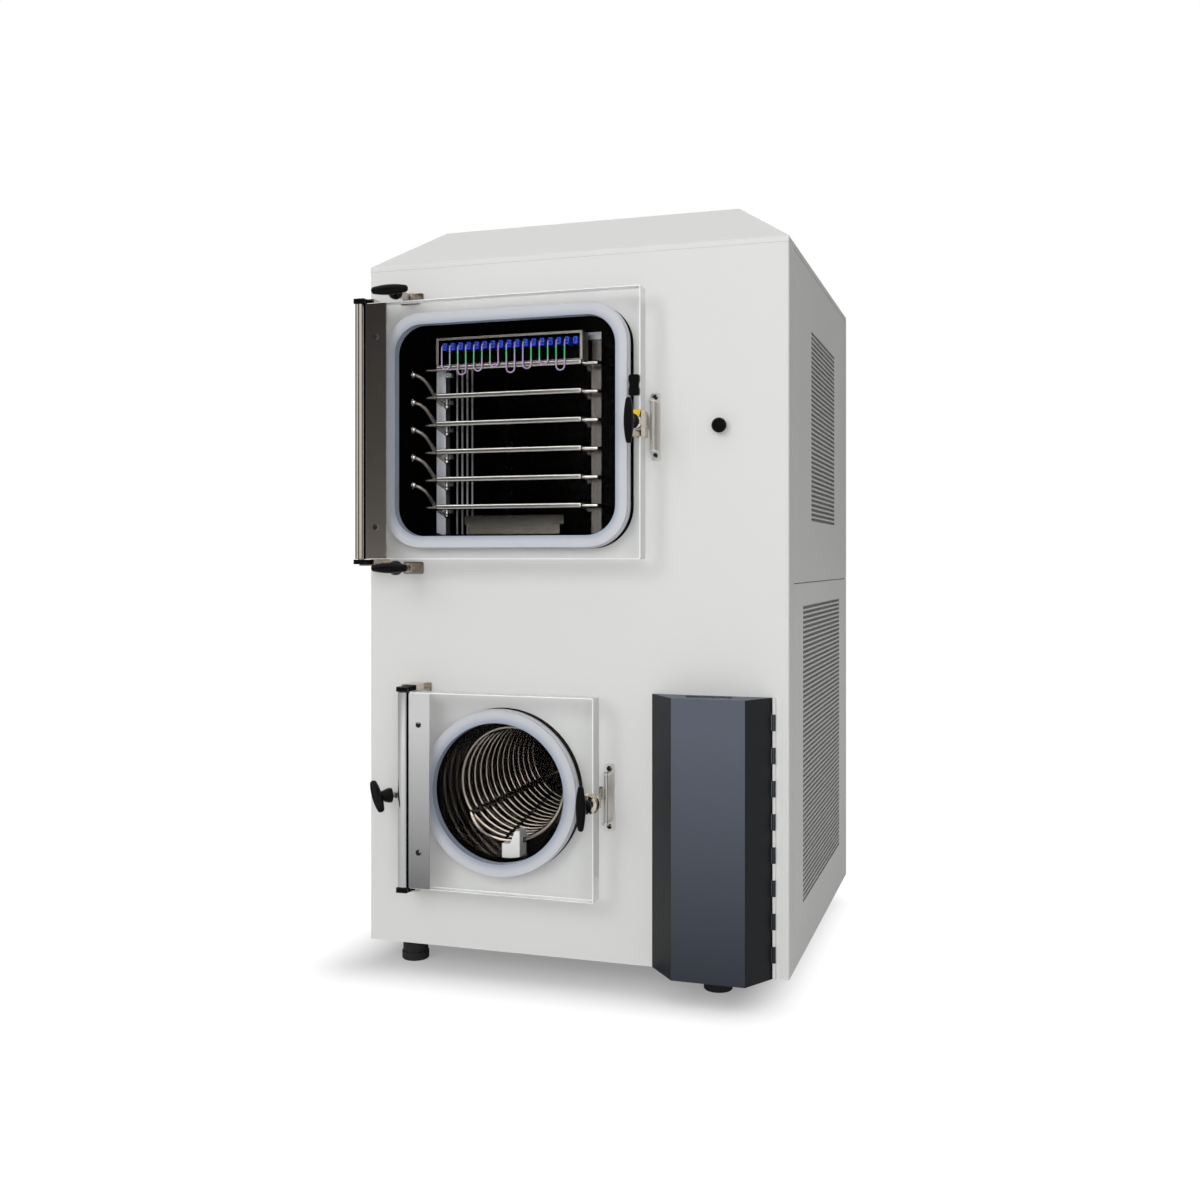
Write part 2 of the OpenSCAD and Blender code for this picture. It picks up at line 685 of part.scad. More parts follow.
// a white plastic block under the first turns, slotted for the tube
module coil_spacer() cab() color("white") {
  w = 36;
  x0 = con_x - 10;
  y0 = coil_y - 22;
  bottom = con_z - con_r;
  difference() {
    intersection() {
      slab(y0, y0 + 36) polygon([[x0, bottom - plug], [x0 + w, bottom - plug], [x0 + w, bottom + 52],
        [x0 + w - 9, bottom + 52], [x0 + w - 20, bottom + 27], [x0, bottom + 27]]);
      rod_y(con_x, -plug, con_end, con_z, con_r);
    }
    translate([con_x - coil_left, coil_y + 0.06 * coil_pitch, con_z + coil_up])
      rotate([-90, 0, 0]) rotate_extrude() translate([coil_r, 0]) circle(coil_tube + 1.6, $fn = 32);
  }
}

// a temperature probe that crosses the chamber's mouth
module coil_probe() cab() color("dimgray") {
  foot = [con_x - 2, 14, con_z - 92.5];
  tip = [con_x + 112, 14, con_z + 19.5];
  reach = norm(tip - foot);
  translate(foot) rotate([0, atan2(tip[0] - foot[0], tip[2] - foot[2]), 0])
    cylinder(r = 3, h = reach);
}

module vapor_duct() cab() color("silver") difference() {
  rod_z(con_x, duct_y, con_z + con_r - 24, chm_floor - chm_wall, duct_r + 3);
  rod_z(con_x, duct_y, con_z, chm_floor, duct_r);
  rod_y(con_x, 0, con_end + chm_wall, con_z, con_r + chm_wall);
}

// ---------- doors ----------

// an acrylic plate with a notch in its free edge for the latch spindle
module door_plate(x, z, w, h, latch_x, latch_z) color([0.85, 0.92, 0.95, 0.4])
  slab(door_front, door_back) difference() {
    translate([x + w / 2, z + h / 2]) rrect(w, h, plate_r);
    translate([latch_x, latch_z - notch_r]) square([plug * 3, 2 * notch_r]);
    translate([latch_x, latch_z]) circle(notch_r);
  }

// a hinge leaf: a flat plate on the door's face, rolled into a barrel at its edge
module door_leaf(ax, z, h, screws) color("silver") difference() {
  union() {
    box(ax, ax + leaf_w, door_front - leaf_t, door_front, z + 2, z + h - 2);
    rod_z(ax, axis_y, z + gap, z + h - gap, barrel_r);
  }
  rod_z(ax, axis_y, z - plug, z + h + plug, pin_r + clear);
  for (sz = screws) rod_y(ax + leaf_w * 0.62, door_front - leaf_t - 1, door_front + 1, sz, 3);
}

// countersunk screws through a leaf, with their heads slightly proud
module leaf_screws(ax, screws) color("silver") for (sz = screws)
  translate([ax + leaf_w * 0.62, door_front - leaf_t, sz]) rotate([90, 0, 0]) difference() {
    union() {
      cylinder(r = 5.5, h = 1.6);
      translate([0, 0, -leaf_t]) cylinder(r = 2.8, h = leaf_t + 1);
    }
    translate([0, 0, 0.6]) cylinder(d = 5.5, h = 2, $fn = 6);
  }

// a T handle on an axis that points forward: round bar, neck and flared skirt
module t_handle(l, r, skirt, out, bore) difference() {
  union() {
    rotate_extrude($fn = 48) intersection() {
      translate([r - l * 2.2, 0]) circle(l * 2.2, $fn = 360);
      translate([0, -l / 2 + r * 0.6]) square([r * 1.5, l - r * 1.2]);
    }
    for (s = [-1, 1]) translate([0, 0, s * (l / 2 - r * 0.72)]) sphere(r * 0.7, $fn = 48);
    rotate([-90, 0, 0]) rotate_extrude($fn = 64) polygon([[0, 0], [r * 0.94, 0],
      [r * 1.02, out * 0.35], [skirt * 0.82, out * 0.62], [skirt, out * 0.78], [skirt, out],
      [0, out]]);
  }
  rotate([-90, 0, 0]) cylinder(r = bore, h = out + plug);
}

handle_out = bar_out - keeper_t - 3;   // from the bar's middle to the back of the skirt

// a latch spindle: a rod through the notch with a hook that stands upright when free
module latch_spindle(x, z) color("silver") union() {
  rod_y(x, bar_y + 1, spindle_tip, z, spindle_r);
  box(x - spindle_r + 1, x + spindle_r - 1, spindle_tip - hook_t, spindle_tip, z, z + hook_l);
}

module latch_handle(x, z) color([0.11, 0.11, 0.12]) translate([x, bar_y, z])
  t_handle(bar_l, bar_r, skirt_r, handle_out, spindle_r);

module product_door() cab()
  door_plate(pdoor_x, pdoor_z, pdoor_w, pdoor_h, platch_x, platch_z);

pscrews = [pdoor_z + 62, pdoor_z + pdoor_h - 66];
cscrews = [cdoor_z + 70, cdoor_z + cdoor_h - 61];

module product_door_leaf() cab() door_leaf(paxis_x, pdoor_z, pdoor_h, pscrews);
module product_door_screws() cab() leaf_screws(paxis_x, pscrews);

// a yellow saddle on the door's edge that carries the spindle
module product_latch_keeper() cab() color("gold") difference() {
  edge = pdoor_x + pdoor_w;
  x0 = edge - 14;
  box(x0, edge + keeper_t, door_front - keeper_t, door_back + keeper_t,
    platch_z - keeper_h / 2, platch_z + keeper_h / 2);
  box(x0 - plug, edge, door_front, door_back,
    platch_z - keeper_h / 2 - plug, platch_z + keeper_h / 2 + plug);
  rod_y(platch_x, door_front - plug, door_back + plug, platch_z, spindle_r + clear);
}

module product_latch_handle() cab() latch_handle(platch_x, platch_z);
module product_latch_spindle() cab() latch_spindle(platch_x, platch_z);

// a moulded magnet block for the door switch
module door_magnet() cab() color([0.1, 0.1, 0.11]) {
  edge = pdoor_x + pdoor_w;
  translate([edge - 10, 0, platch_z + 68]) slab(door_front - 7, door_front) difference() {
    rrect(20, 38, 4);
    for (s = [-1, 1]) translate([s * 26, 0]) circle(17.5);
  }
}

module condenser_door() cab()
  door_plate(cdoor_x, cdoor_z, cdoor_w, cdoor_h, clatch_x, clatch_z);
module condenser_door_leaf() cab() door_leaf(caxis_x, cdoor_z, cdoor_h, cscrews);
module condenser_door_screws() cab() leaf_screws(caxis_x, cscrews);

// a steel cup washer that carries the condenser door's spindle
module condenser_latch_washer() cab() color("silver") difference() {
  edge = cdoor_x + cdoor_w;
  union() {
    rod_y(clatch_x, door_front - keeper_t, door_front, clatch_z, skirt_r + 3);
    box(clatch_x - 8, edge + keeper_t, door_front - keeper_t, door_back + keeper_t,
      clatch_z - 14, clatch_z + 14);
  }
  box(clatch_x - 8 - plug, edge, door_front, door_back, clatch_z - 14 - plug, clatch_z + 14 + plug);
  rod_y(clatch_x, door_front - plug, door_back + plug, clatch_z, spindle_r + clear);
}

module condenser_latch_handle() cab() latch_handle(clatch_x, clatch_z);
module condenser_latch_spindle() cab() latch_spindle(clatch_x, clatch_z);

// ---------- hinges ----------

arm_t = 3;
arm_left = -12;
arm_right = 20;
arm_foot = 40;

// one folded bracket, with its arm over the door's hinge and its foot on the panel
module hinge_bracket(ax) {
  top = gap + block_h + arm_t;
  difference() {
    union() {
      box(ax + arm_left, ax + arm_right, axis_y + 14, 0, top - arm_t, top);
      for (x = [ax + arm_left, ax + arm_right - arm_t])
        box(x, x + arm_t, axis_y + 14, 0, gap + 0.5, top);
      box(ax + arm_left, ax + arm_right + 8, -arm_t, 0, top - arm_foot, top);
    }
    for (x = [ax - 4, ax + 18]) rod_y(x, -arm_t - 1, 1, top - arm_foot + 12, 3);
  }
}

// top and bottom of each door: the lower one is the upper one turned over
module at_hinges() {
  for (h = [[paxis_x, pdoor_z, pdoor_h], [caxis_x, cdoor_z, cdoor_h]]) {
    translate([h[0], 0, h[1] + h[2]]) children();
    translate([h[0], 0, h[1]]) mirror([0, 0, 1]) children();
  }
}

module hinge_brackets() cab() color("silver") at_hinges() hinge_bracket(0);

// black plastic blocks that sit in the brackets and hold the pins
module hinge_blocks() cab() color([0.08, 0.08, 0.09]) at_hinges() difference() {
  union() {
    translate([0, axis_y, gap]) linear_extrude(block_h) rrect(block_w, block_w + 1, 3);
    box(arm_left + arm_t, arm_right - arm_t - 4, axis_y, axis_y + 34, gap, gap + block_h);
  }
  rod_z(0, axis_y, -plug, block_h + plug, pin_r);
}

module hinge_pins() cab() color("silver") {
  for (h = [[paxis_x, pdoor_z, pdoor_h], [caxis_x, cdoor_z, cdoor_h]])
    rod_z(h[0], axis_y, h[1] - gap - block_h, h[1] + h[2] + gap + block_h, pin_r);
}

// ---------- strikes ----------

// a strike: a plate on the panel with two ears that hold an upright pin
module strike(x, z) {
  px = x + catch_dx;
  ear = strike_h / 2 - 16;
  difference() {
    union() {
      slab(-arm_t, 0) translate([px + 1, z]) rrect(strike_w, strike_h, 4);
      for (s = [-1, 1]) translate([0, 0, z + s * ear]) {
        box(px - 7, px + 5, catch_y, 0, -arm_t / 2, arm_t / 2);
        rod_z(px - 1, catch_y, -arm_t / 2, arm_t / 2, 6);
      }
    }
    rod_z(px, catch_y, z - ear - 5, z + ear + 5, catch_r);
    for (s = [-1, 1]) rod_y(px + 1, -arm_t - 1, 1, z + s * (strike_h / 2 - 8), 3);
  }
}

module strikes() cab() color("silver") {
  strike(platch_x, platch_z);
  strike(clatch_x, clatch_z);
}

module strike_pin(x, z) rod_z(x + catch_dx, catch_y, z - strike_h / 2 + 12, z + strike_h / 2 - 12, catch_r);

// pins of the strikes and of the clamps
module pivot_pins() cab() color("darkgray") {
  strike_pin(platch_x, platch_z);
  strike_pin(clatch_x, clatch_z);
  reach = shank_t / 2 + gap + ear_t + 1.5;
  for (z = [tclamp_z, bclamp_z]) rod_x(clamp_x - reach, clamp_x + reach, -pivot_out, z, clamp_pin);
  rod_z(sclamp_x, -pivot_out, sclamp_z - reach, sclamp_z + reach, clamp_pin);
}

// socket-head screws that hold strikes, hinge brackets and clamp brackets to the panel
module panel_screw(x, z) translate([x, -arm_t, z]) rotate([90, 0, 0]) difference() {
  union() {
    cylinder(r = 5, h = 3.2);
    translate([0, 0, -arm_t]) cylinder(r = 2.8, h = arm_t + 1);
  }
  translate([0, 0, 1]) cylinder(d = 5, h = 4, $fn = 6);
}

module panel_screws() cab() color("gray") {
  for (h = [[platch_x, platch_z], [clatch_x, clatch_z]], s = [-1, 1])
    panel_screw(h[0] + catch_dx + 1, h[1] + s * (strike_h / 2 - 8));
  foot_z = gap + block_h + arm_t - arm_foot + 12;
  for (h = [[paxis_x, pdoor_z, pdoor_h], [caxis_x, cdoor_z, cdoor_h]], dx = [-4, 18]) {
    panel_screw(h[0] + dx, h[1] + h[2] + foot_z);
    panel_screw(h[0] + dx, h[1] - foot_z);
  }
}

// ---------- clamps ----------

// parts of a clamp, with its pivot at the origin, its pin along X and its bolt forward
module clamp_bracket() difference() {
  reach = shank_t / 2 + gap;
  union() {
    translate([0, pivot_out, 0]) slab(-arm_t, 0) rrect(44, 24, 4);
    for (s = [-1, 1]) translate([s * (reach + ear_t / 2), 0, 0]) {
      rod_x(-ear_t / 2, ear_t / 2, 0, 0, eye_r);
      box(-ear_t / 2, ear_t / 2, 0, pivot_out, -eye_r, eye_r);
    }
  }
  rod_x(-reach - ear_t - 1, reach + ear_t + 1, 0, 0, clamp_pin);
}

module clamp_bolt() {
  flat_l = clamp_l - 34;
  difference() {
    union() {
      rod_x(-shank_t / 2, shank_t / 2, 0, 0, eye_r);
      box(-shank_t / 2, shank_t / 2, -flat_l, 0, -6, 6);
      rod_y(0, -clamp_l + 1, -flat_l + 1, 0, clamp_rod);
    }
    rod_x(-shank_t, shank_t, 0, 0, clamp_pin + clear);
  }
}

module clamp_knob() translate([0, -clamp_l, 0]) rotate([0, 90, 0])
  t_handle(knob_l, 7.5, knob_skirt, 28, clamp_rod + clear);

// the knob's bar stands upright on the side clamp, tilted by a part turn
module at_top_clamp() translate([clamp_x, -pivot_out, tclamp_z]) children();
module at_bottom_clamp() translate([clamp_x, -pivot_out, bclamp_z]) children();
module at_side_clamp()
  translate([sclamp_x, -pivot_out, sclamp_z]) rotate([0, 0, -clamp_turn]) children();

module clamp_brackets() cab() color("tan") {
  at_top_clamp() clamp_bracket();
  at_bottom_clamp() clamp_bracket();
  translate([sclamp_x, -pivot_out, sclamp_z]) rotate([0, 90, 0]) clamp_bracket();
}

module top_clamp_bolt() cab() color("tan") at_top_clamp() clamp_bolt();
module top_clamp_knob() cab() color([0.1, 0.1, 0.11]) at_top_clamp() clamp_knob();
module bottom_clamp_bolt() cab() color("tan") at_bottom_clamp() clamp_bolt();
module bottom_clamp_knob() cab() color([0.1, 0.1, 0.11]) at_bottom_clamp() clamp_knob();
module side_clamp_bolt() cab() color("tan") at_side_clamp() rotate([0, 90, 0]) clamp_bolt();
module side_clamp_knob() cab() color([0.1, 0.1, 0.11])
  at_side_clamp() rotate([0, -60, 0]) clamp_knob();

// ---------- push button ----------

module push_button() cab() color([0.1, 0.1, 0.12])
  translate([button_x, 0, button_z]) rotate([90, 0, 0]) rotate_extrude() {
    // the stem runs through the panel; the head is a low mushroom
    translate([0, -24]) square([5.8, 38]);
    polygon([[0, button_travel + 6], [button_d / 2 - 2, button_travel + 5],
      [button_d / 2, button_travel + 7], [button_d / 2, button_travel + 12],
      [button_d / 2 - 2.5, button_travel + 15], [0, button_travel + 16]]);
  }

// ---------- pump bay ----------

cover_gap = 1;
cover_out = [[0, -cover_gap], [cover_slope_l, -cover_d], [cover_w - cover_slope_r, -cover_d],
  [cover_w, -cover_gap]];
cover_wall = 2;
cover_in = [[cover_wall * 1.6, plug], [cover_wall * 1.6, -cover_gap],
  [cover_slope_l + cover_wall * 0.6, -cover_d + cover_wall],
  [cover_w - cover_slope_r - cover_wall * 0.6, -cover_d + cover_wall],
  [cover_w - cover_wall * 1.6, -cover_gap], [cover_w - cover_wall * 1.6, plug]];

module pump_cover() cab() color([0.17, 0.19, 0.22]) {
  difference() {
    union() {
      difference() {
        translate([cover_x, 0, 0]) linear_extrude(cover_h) polygon(cover_out);
        translate([cover_x, 0, cover_wall]) linear_extrude(cover_h - 2 * cover_wall) polygon(cover_in);
      }
      // the hinge's moving knuckles, each on a short tab
      for (i = [1:2:knuckle_n - 1]) {
        rod_z(hinge_x, hinge_y, i * knuckle_h + gap / 2, (i + 1) * knuckle_h - gap / 2, knuckle_r);
        box(cover_x + cover_w - 5, hinge_x, hinge_y - 1, hinge_y + 0.6,
          i * knuckle_h + gap / 2, (i + 1) * knuckle_h - gap / 2);
      }
    }
    rod_z(hinge_x, hinge_y, -plug, cover_h + plug, 1.5 + clear);
    // cable slot in the top
    translate([cover_x + 67, -46, cover_h - plug]) linear_extrude(2 * plug)
      polygon([[8, 0], [90, 7], [85, 36], [0, 34]]);
  }
}

// the hinge's fixed leaf, knuckles and pin
module cover_hinge() cab() color("darkgray") {
  difference() {
    union() {
      box(hinge_x + 0.5, hinge_x + 14, -1.2, 0, 0, cover_h);
      for (i = [0:2:knuckle_n - 1]) {
        rod_z(hinge_x, hinge_y, i * knuckle_h + gap / 2, (i + 1) * knuckle_h - gap / 2, knuckle_r);
        box(hinge_x + 0.5, hinge_x + knuckle_r, hinge_y, 0,
          i * knuckle_h + gap / 2, (i + 1) * knuckle_h - gap / 2);
      }
    }
    rod_z(hinge_x, hinge_y, -plug, cover_h + plug, 1.5);
  }
  rod_z(hinge_x, hinge_y, 0, cover_h, 1.5);
}

module pump_bay() cab() color("lightgray") difference() {
  box(bay_x - 1.5, bay_x + bay_w + 1.5, sheet, sheet + bay_d, bay_z - 1.5, bay_z + bay_h + 1.5);
  box(bay_x, bay_x + bay_w, -plug, sheet + bay_d - 1.5, bay_z, bay_z + bay_h);
  rod_z(bay_x + bay_w / 2, 130, bay_z + bay_h - plug, bay_z + bay_h + plug, 20);
}

// a two-stage rotary vane pump with its finned motor behind it
module vacuum_pump() cab() translate([bay_x + bay_w / 2, 0, bay_z]) {
  color([0.25, 0.3, 0.36]) union() {
    box(-62, 62, 50, 400, 0, 12);
    translate([0, 55, 118]) slab(0, 135) rrect(124, 212, 14);
    rod_z(0, 130, 220, 262, 13);
    rod_z(0, 130, 258, 266, 20);
    rod_z(-32, 90, 220, 236, 16);
  }
  color([0.16, 0.17, 0.19]) union() {
    translate([0, 190, 118]) rotate([-90, 0, 0]) rotate_extrude() {
      square([56, 200]);
      for (i = [0:13]) translate([0, 14 + i * 12.5]) square([64, 4]);
    }
    box(-30, 30, 240, 330, 150, 192);
    box(-40, 40, 230, 360, 12, 70);
  }
  // exhaust mist filter and oil sight glass
  color("whitesmoke") rod_z(-32, 90, 236, 330, 24);
  color("gold") rod_y(28, 50, 55, 60, 15);
}

// ---------- refrigeration ----------

module compressors() cab() color([0.08, 0.08, 0.09]) for (x = [190, 430])
  translate([x, cab_d - 250, 3]) {
    for (a = [-1, 1]) box(-70, 70, a * 60 - 8, a * 60 + 8, 0, 20);
    translate([0, 0, 20]) rotate_extrude() {
      square([82, 150]);
      intersection() {
        translate([0, 150]) scale([1, 0.6]) circle(82);
        translate([0, 149]) square([90, 90]);
      }
    }
  }

// the air-cooled condenser: a finned block and the fan's shroud in front of it
module air_condenser() cab() color("silver") {
  w = 380;
  h = 360;
  y0 = fan_y + 45;
  difference() {
    box(fan_x - w / 2 - 4, fan_x + w / 2 + 4, y0, cab_d - sheet, fan_z - h / 2 - 4, fan_z + h / 2 + 4);
    box(fan_x - w / 2, fan_x + w / 2, y0 - 1, cab_d, fan_z - h / 2, fan_z + h / 2);
  }
  for (i = [0:23]) {
    x = fan_x - w / 2 + (i + 0.5) * w / 24;
    box(x - 0.6, x + 0.6, y0 + 4, y0 + 56, fan_z - h / 2, fan_z + h / 2);
  }
  difference() {
    box(fan_x - w / 2 - 4, fan_x + w / 2 + 4, fan_y - 8, y0, fan_z - h / 2 - 4, fan_z + h / 2 + 4);
    box(fan_x - w / 2, fan_x + w / 2, fan_y - 5, y0 + 1, fan_z - h / 2, fan_z + h / 2);
    rod_y(fan_x, fan_y - 20, y0, fan_z, 160);
  }
  // motor on a cross bar
  box(fan_x - 170, fan_x + 170, fan_y - 34, fan_y - 31, fan_z - 15, fan_z + 15);
  for (s = [-1, 1]) box(fan_x + s * 166 - 4, fan_x + s * 166 + 4, fan_y - 31, fan_y - 8, fan_z - 15, fan_z + 15);
  rod_y(fan_x, fan_y - 60, fan_y - 16, fan_z, 42);
  rod_y(fan_x, fan_y - 16, fan_y + 4, fan_z, 5);
}

module fan_rotor() cab() color([0.2, 0.2, 0.22]) translate([fan_x, fan_y, fan_z]) {
  difference() {
    union() {
      rod_y(0, -12, 12, 0, 34);
      for (a = [0:72:288]) rotate([0, a, 0]) translate([86, 0, 0]) rotate([28, 0, 0])
        slab(-1.5, 1.5) rrect(122, 62, 20);
    }
    rod_y(0, -20, 6, 0, 5 + clear);
  }
}

// ---------- rear fittings ----------

port_x = 690;
port_z = 620;
port_r = 14;
inlet_x = 700;
inlet_z = 160;

// a vacuum port with a clamp flange, and a mains inlet socket
module rear_fittings() cab() {
  color("silver") difference() {
    union() {
      rod_y(port_x, cab_d - 30, cab_d + rear_proud - 2, port_z, port_r);
      rod_y(port_x, cab_d, cab_d + 3, port_z, port_r + 12);
      rod_y(port_x, cab_d + rear_proud - 4, cab_d + rear_proud, port_z, 20);
    }
    rod_y(port_x, cab_d - 40, cab_d + rear_proud + plug, port_z, 13);
  }
  color([0.1, 0.1, 0.11]) translate([inlet_x, 0, inlet_z]) difference() {
    union() {
      slab(cab_d, cab_d + 3) rrect(60, 38, 5);
      slab(cab_d - 26, cab_d) rrect(46, 26, 3);
    }
    slab(cab_d - 18, cab_d + plug) rrect(26, 18, 3);
  }
}

front_panel();
hood();
upper_side_panels();
lower_side_panels();
rear_panel();
cabinet_frame();
feet();
product_chamber();
product_seal();
shelf_rack();
shelves();
fluid_tubes();
shelf_hoses();
sensor_panel();
sensor_sockets();
sensor_leads();
drip_tray();
condenser_chamber();
condenser_seal();
condenser_coil();
coil_spacer();
coil_probe();
vapor_duct();
product_door();
product_door_leaf();
product_door_screws();
product_latch_keeper();
product_latch_handle();
product_latch_spindle();
door_magnet();
condenser_door();
condenser_door_leaf();
condenser_door_screws();
condenser_latch_washer();
condenser_latch_handle();
condenser_latch_spindle();
hinge_brackets();
hinge_blocks();
hinge_pins();
strikes();
pivot_pins();
panel_screws();
clamp_brackets();
top_clamp_bolt();
top_clamp_knob();
bottom_clamp_bolt();
bottom_clamp_knob();
side_clamp_bolt();
side_clamp_knob();
push_button();
pump_cover();
cover_hinge();
pump_bay();
vacuum_pump();
compressors();
air_condenser();
fan_rotor();
rear_fittings();
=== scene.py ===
"""The looks of a floor-standing laboratory freeze dryer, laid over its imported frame."""
import json
import math
import bmesh
import bpy
from mathutils import Matrix, Vector
from mathutils.geometry import interpolate_bezier

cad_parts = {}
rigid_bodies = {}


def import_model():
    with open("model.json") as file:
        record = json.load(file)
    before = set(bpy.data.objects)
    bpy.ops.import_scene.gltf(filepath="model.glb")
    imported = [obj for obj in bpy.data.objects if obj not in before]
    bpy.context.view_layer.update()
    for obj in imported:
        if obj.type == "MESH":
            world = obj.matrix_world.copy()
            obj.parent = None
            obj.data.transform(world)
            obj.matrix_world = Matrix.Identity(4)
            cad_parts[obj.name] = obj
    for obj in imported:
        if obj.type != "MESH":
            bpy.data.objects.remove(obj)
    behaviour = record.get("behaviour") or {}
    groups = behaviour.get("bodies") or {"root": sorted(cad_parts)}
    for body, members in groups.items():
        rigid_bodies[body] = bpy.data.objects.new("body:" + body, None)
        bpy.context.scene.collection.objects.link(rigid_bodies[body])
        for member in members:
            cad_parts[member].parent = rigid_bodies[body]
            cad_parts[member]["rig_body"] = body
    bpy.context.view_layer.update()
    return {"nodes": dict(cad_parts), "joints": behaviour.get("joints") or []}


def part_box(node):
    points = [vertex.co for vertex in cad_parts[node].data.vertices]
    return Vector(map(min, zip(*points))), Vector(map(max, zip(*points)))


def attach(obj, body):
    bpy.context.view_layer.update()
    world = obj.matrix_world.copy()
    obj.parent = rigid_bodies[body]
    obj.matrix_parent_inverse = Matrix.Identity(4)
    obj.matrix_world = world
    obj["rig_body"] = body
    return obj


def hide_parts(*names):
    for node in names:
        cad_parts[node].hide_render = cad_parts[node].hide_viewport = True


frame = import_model()
NODES = frame["nodes"]

# ---------- the room ----------
# A white photographic sweep: pale floor, soft boxes in front on the left and the right, a
# weak one overhead, and a camera at waist height in front of the right-hand corner.
MM = 0.001
cabinet_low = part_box("front_panel")[0]


def spot(x, y, z):
    """A place in metres, from millimetres right of the cabinet's left side, behind its front
    and above its underside."""
    return cabinet_low + Vector((x, y, z)) * MM


def linear(hex_colour):
    """An sRGB hex colour as the linear colour that a shader takes."""
    parts = [int(hex_colour[i:i + 2], 16) / 255 for i in (1, 3, 5)]
    return tuple(c / 12.92 if c <= 0.04045 else ((c + 0.055) / 1.055) ** 2.4 for c in parts) + (1.0,)


def add(tree, kind, inputs=None, **settings):
    """Adds a node with its settings; inputs maps a socket to a value or to the socket that feeds it."""
    node = tree.nodes.new(kind)
    for name, value in settings.items():
        setattr(node, name, value)
    for name, value in (inputs or {}).items():
        if isinstance(value, bpy.types.NodeSocket):
            tree.links.new(value, node.inputs[name])
        else:
            node.inputs[name].default_value = value
    return node


def blank(name):
    """A material with nothing in it, and its tree."""
    material = bpy.data.materials.new(name)
    material.use_nodes = True
    material.node_tree.nodes.clear()
    return material, material.node_tree


scene = bpy.context.scene
scene.view_settings.view_transform = "Standard"

# the camera's lens, height and bearing come from the cabinet's straight edges in the photograph
camera_data = bpy.data.cameras.new("camera")
camera_data.lens = 38.57
camera_data.sensor_width = 36
camera_data.shift_y = -0.0322
camera_data.clip_end = 100
camera = bpy.data.objects.new("camera", camera_data)
camera.location = spot(1218.9, -2297.4, 751.1)
camera.rotation_euler = (math.radians(90), 0, math.radians(17.83))
scene.collection.objects.link(camera)
scene.camera = camera

world = bpy.data.worlds.new("white studio")
world.use_nodes = True
scene.world = world
sky = world.node_tree
sky.nodes.clear()
rays = add(sky, "ShaderNodeLightPath")
direction = add(sky, "ShaderNodeTexCoord")
compass = add(sky, "ShaderNodeSeparateXYZ", {"Vector": direction.outputs["Generated"]})
forward = add(sky, "ShaderNodeMath", {0: compass.outputs["Y"], 1: -1.0}, operation="MULTIPLY")
bearing = add(sky, "ShaderNodeMath", {0: compass.outputs["X"], 1: forward.outputs[0]}, operation="ARCTAN2")
around = add(sky, "ShaderNodeMath", {0: bearing.outputs[0], 1: 0.5 / math.pi, 2: 0.5},
             operation="MULTIPLY_ADD")


def bands(tree, factor, stops):
    """A colour ramp in greys, from pairs of place and level."""
    ramp_node = add(tree, "ShaderNodeValToRGB", {"Fac": factor})
    elements = ramp_node.color_ramp.elements
    while len(elements) < len(stops):
        elements.new(0.5)
    for element, (place, level) in zip(elements, stops):
        element.position = place
        element.color = (level, level, level, 1)
    return ramp_node.outputs["Color"]


# what bright steel mirrors: a dim room, with upright soft boxes at both sides and one overhead
walls = bands(sky, around.outputs[0], [(0.0, 0.05), (0.27, 0.06), (0.30, 0.90), (0.37, 0.95), (0.39, 0.07),
                                       (0.445, 0.06), (0.46, 0.75), (0.51, 0.60), (0.54, 0.95), (0.585, 0.90),
                                       (0.60, 0.10), (0.66, 0.08), (0.675, 1.0), (0.81, 0.90), (0.84, 0.10),
                                       (1.0, 0.05)])
overhead = bands(sky, compass.outputs["Z"], [(0.0, 0.0), (0.38, 0.0), (0.5, 1.0), (1.0, 1.0)])
room = add(sky, "ShaderNodeMix", {0: 1.0, 6: walls, 7: overhead}, data_type="RGBA", blend_type="LIGHTEN")
# the light that falls on paint: more from the front than from behind
fall = add(sky, "ShaderNodeMapRange", {"Value": compass.outputs["Y"], "From Min": -1.0, "From Max": 0.6,
                                       "To Min": 0.62, "To Max": 0.26})
seen = add(sky, "ShaderNodeMath", {0: rays.outputs["Glossy Depth"], 1: 0.5}, operation="LESS_THAN")
first = add(sky, "ShaderNodeMath", {0: rays.outputs["Diffuse Depth"], 1: 0.5}, operation="LESS_THAN")
shown = add(sky, "ShaderNodeMath", {0: seen.outputs[0], 1: first.outputs[0]}, operation="MULTIPLY")
lighting = add(sky, "ShaderNodeBackground", {"Color": (1, 1, 1, 1), "Strength": fall.outputs["Result"]})
backdrop = add(sky, "ShaderNodeBackground", {"Color": (1, 1, 1, 1), "Strength": 1.0})
# steel inside a chamber sees the boxes through a door's two faces, and burns out where it mirrors them
inside = add(sky, "ShaderNodeMath", {0: rays.outputs["Transmission Depth"], 1: 2.5}, operation="GREATER_THAN")
glare = add(sky, "ShaderNodeMath", {0: inside.outputs[0], 1: 1.6, 2: 1.0}, operation="MULTIPLY_ADD")
reflected = add(sky, "ShaderNodeBackground", {"Color": room.outputs[2], "Strength": glare.outputs[0]})
behind = add(sky, "ShaderNodeMixShader",
             {0: first.outputs[0], 1: lighting.outputs[0], 2: reflected.outputs[0]})
whole = add(sky, "ShaderNodeMixShader", {0: shown.outputs[0], 1: behind.outputs[0], 2: backdrop.outputs[0]})
add(sky, "ShaderNodeOutputWorld", {"Surface": whole.outputs[0]})

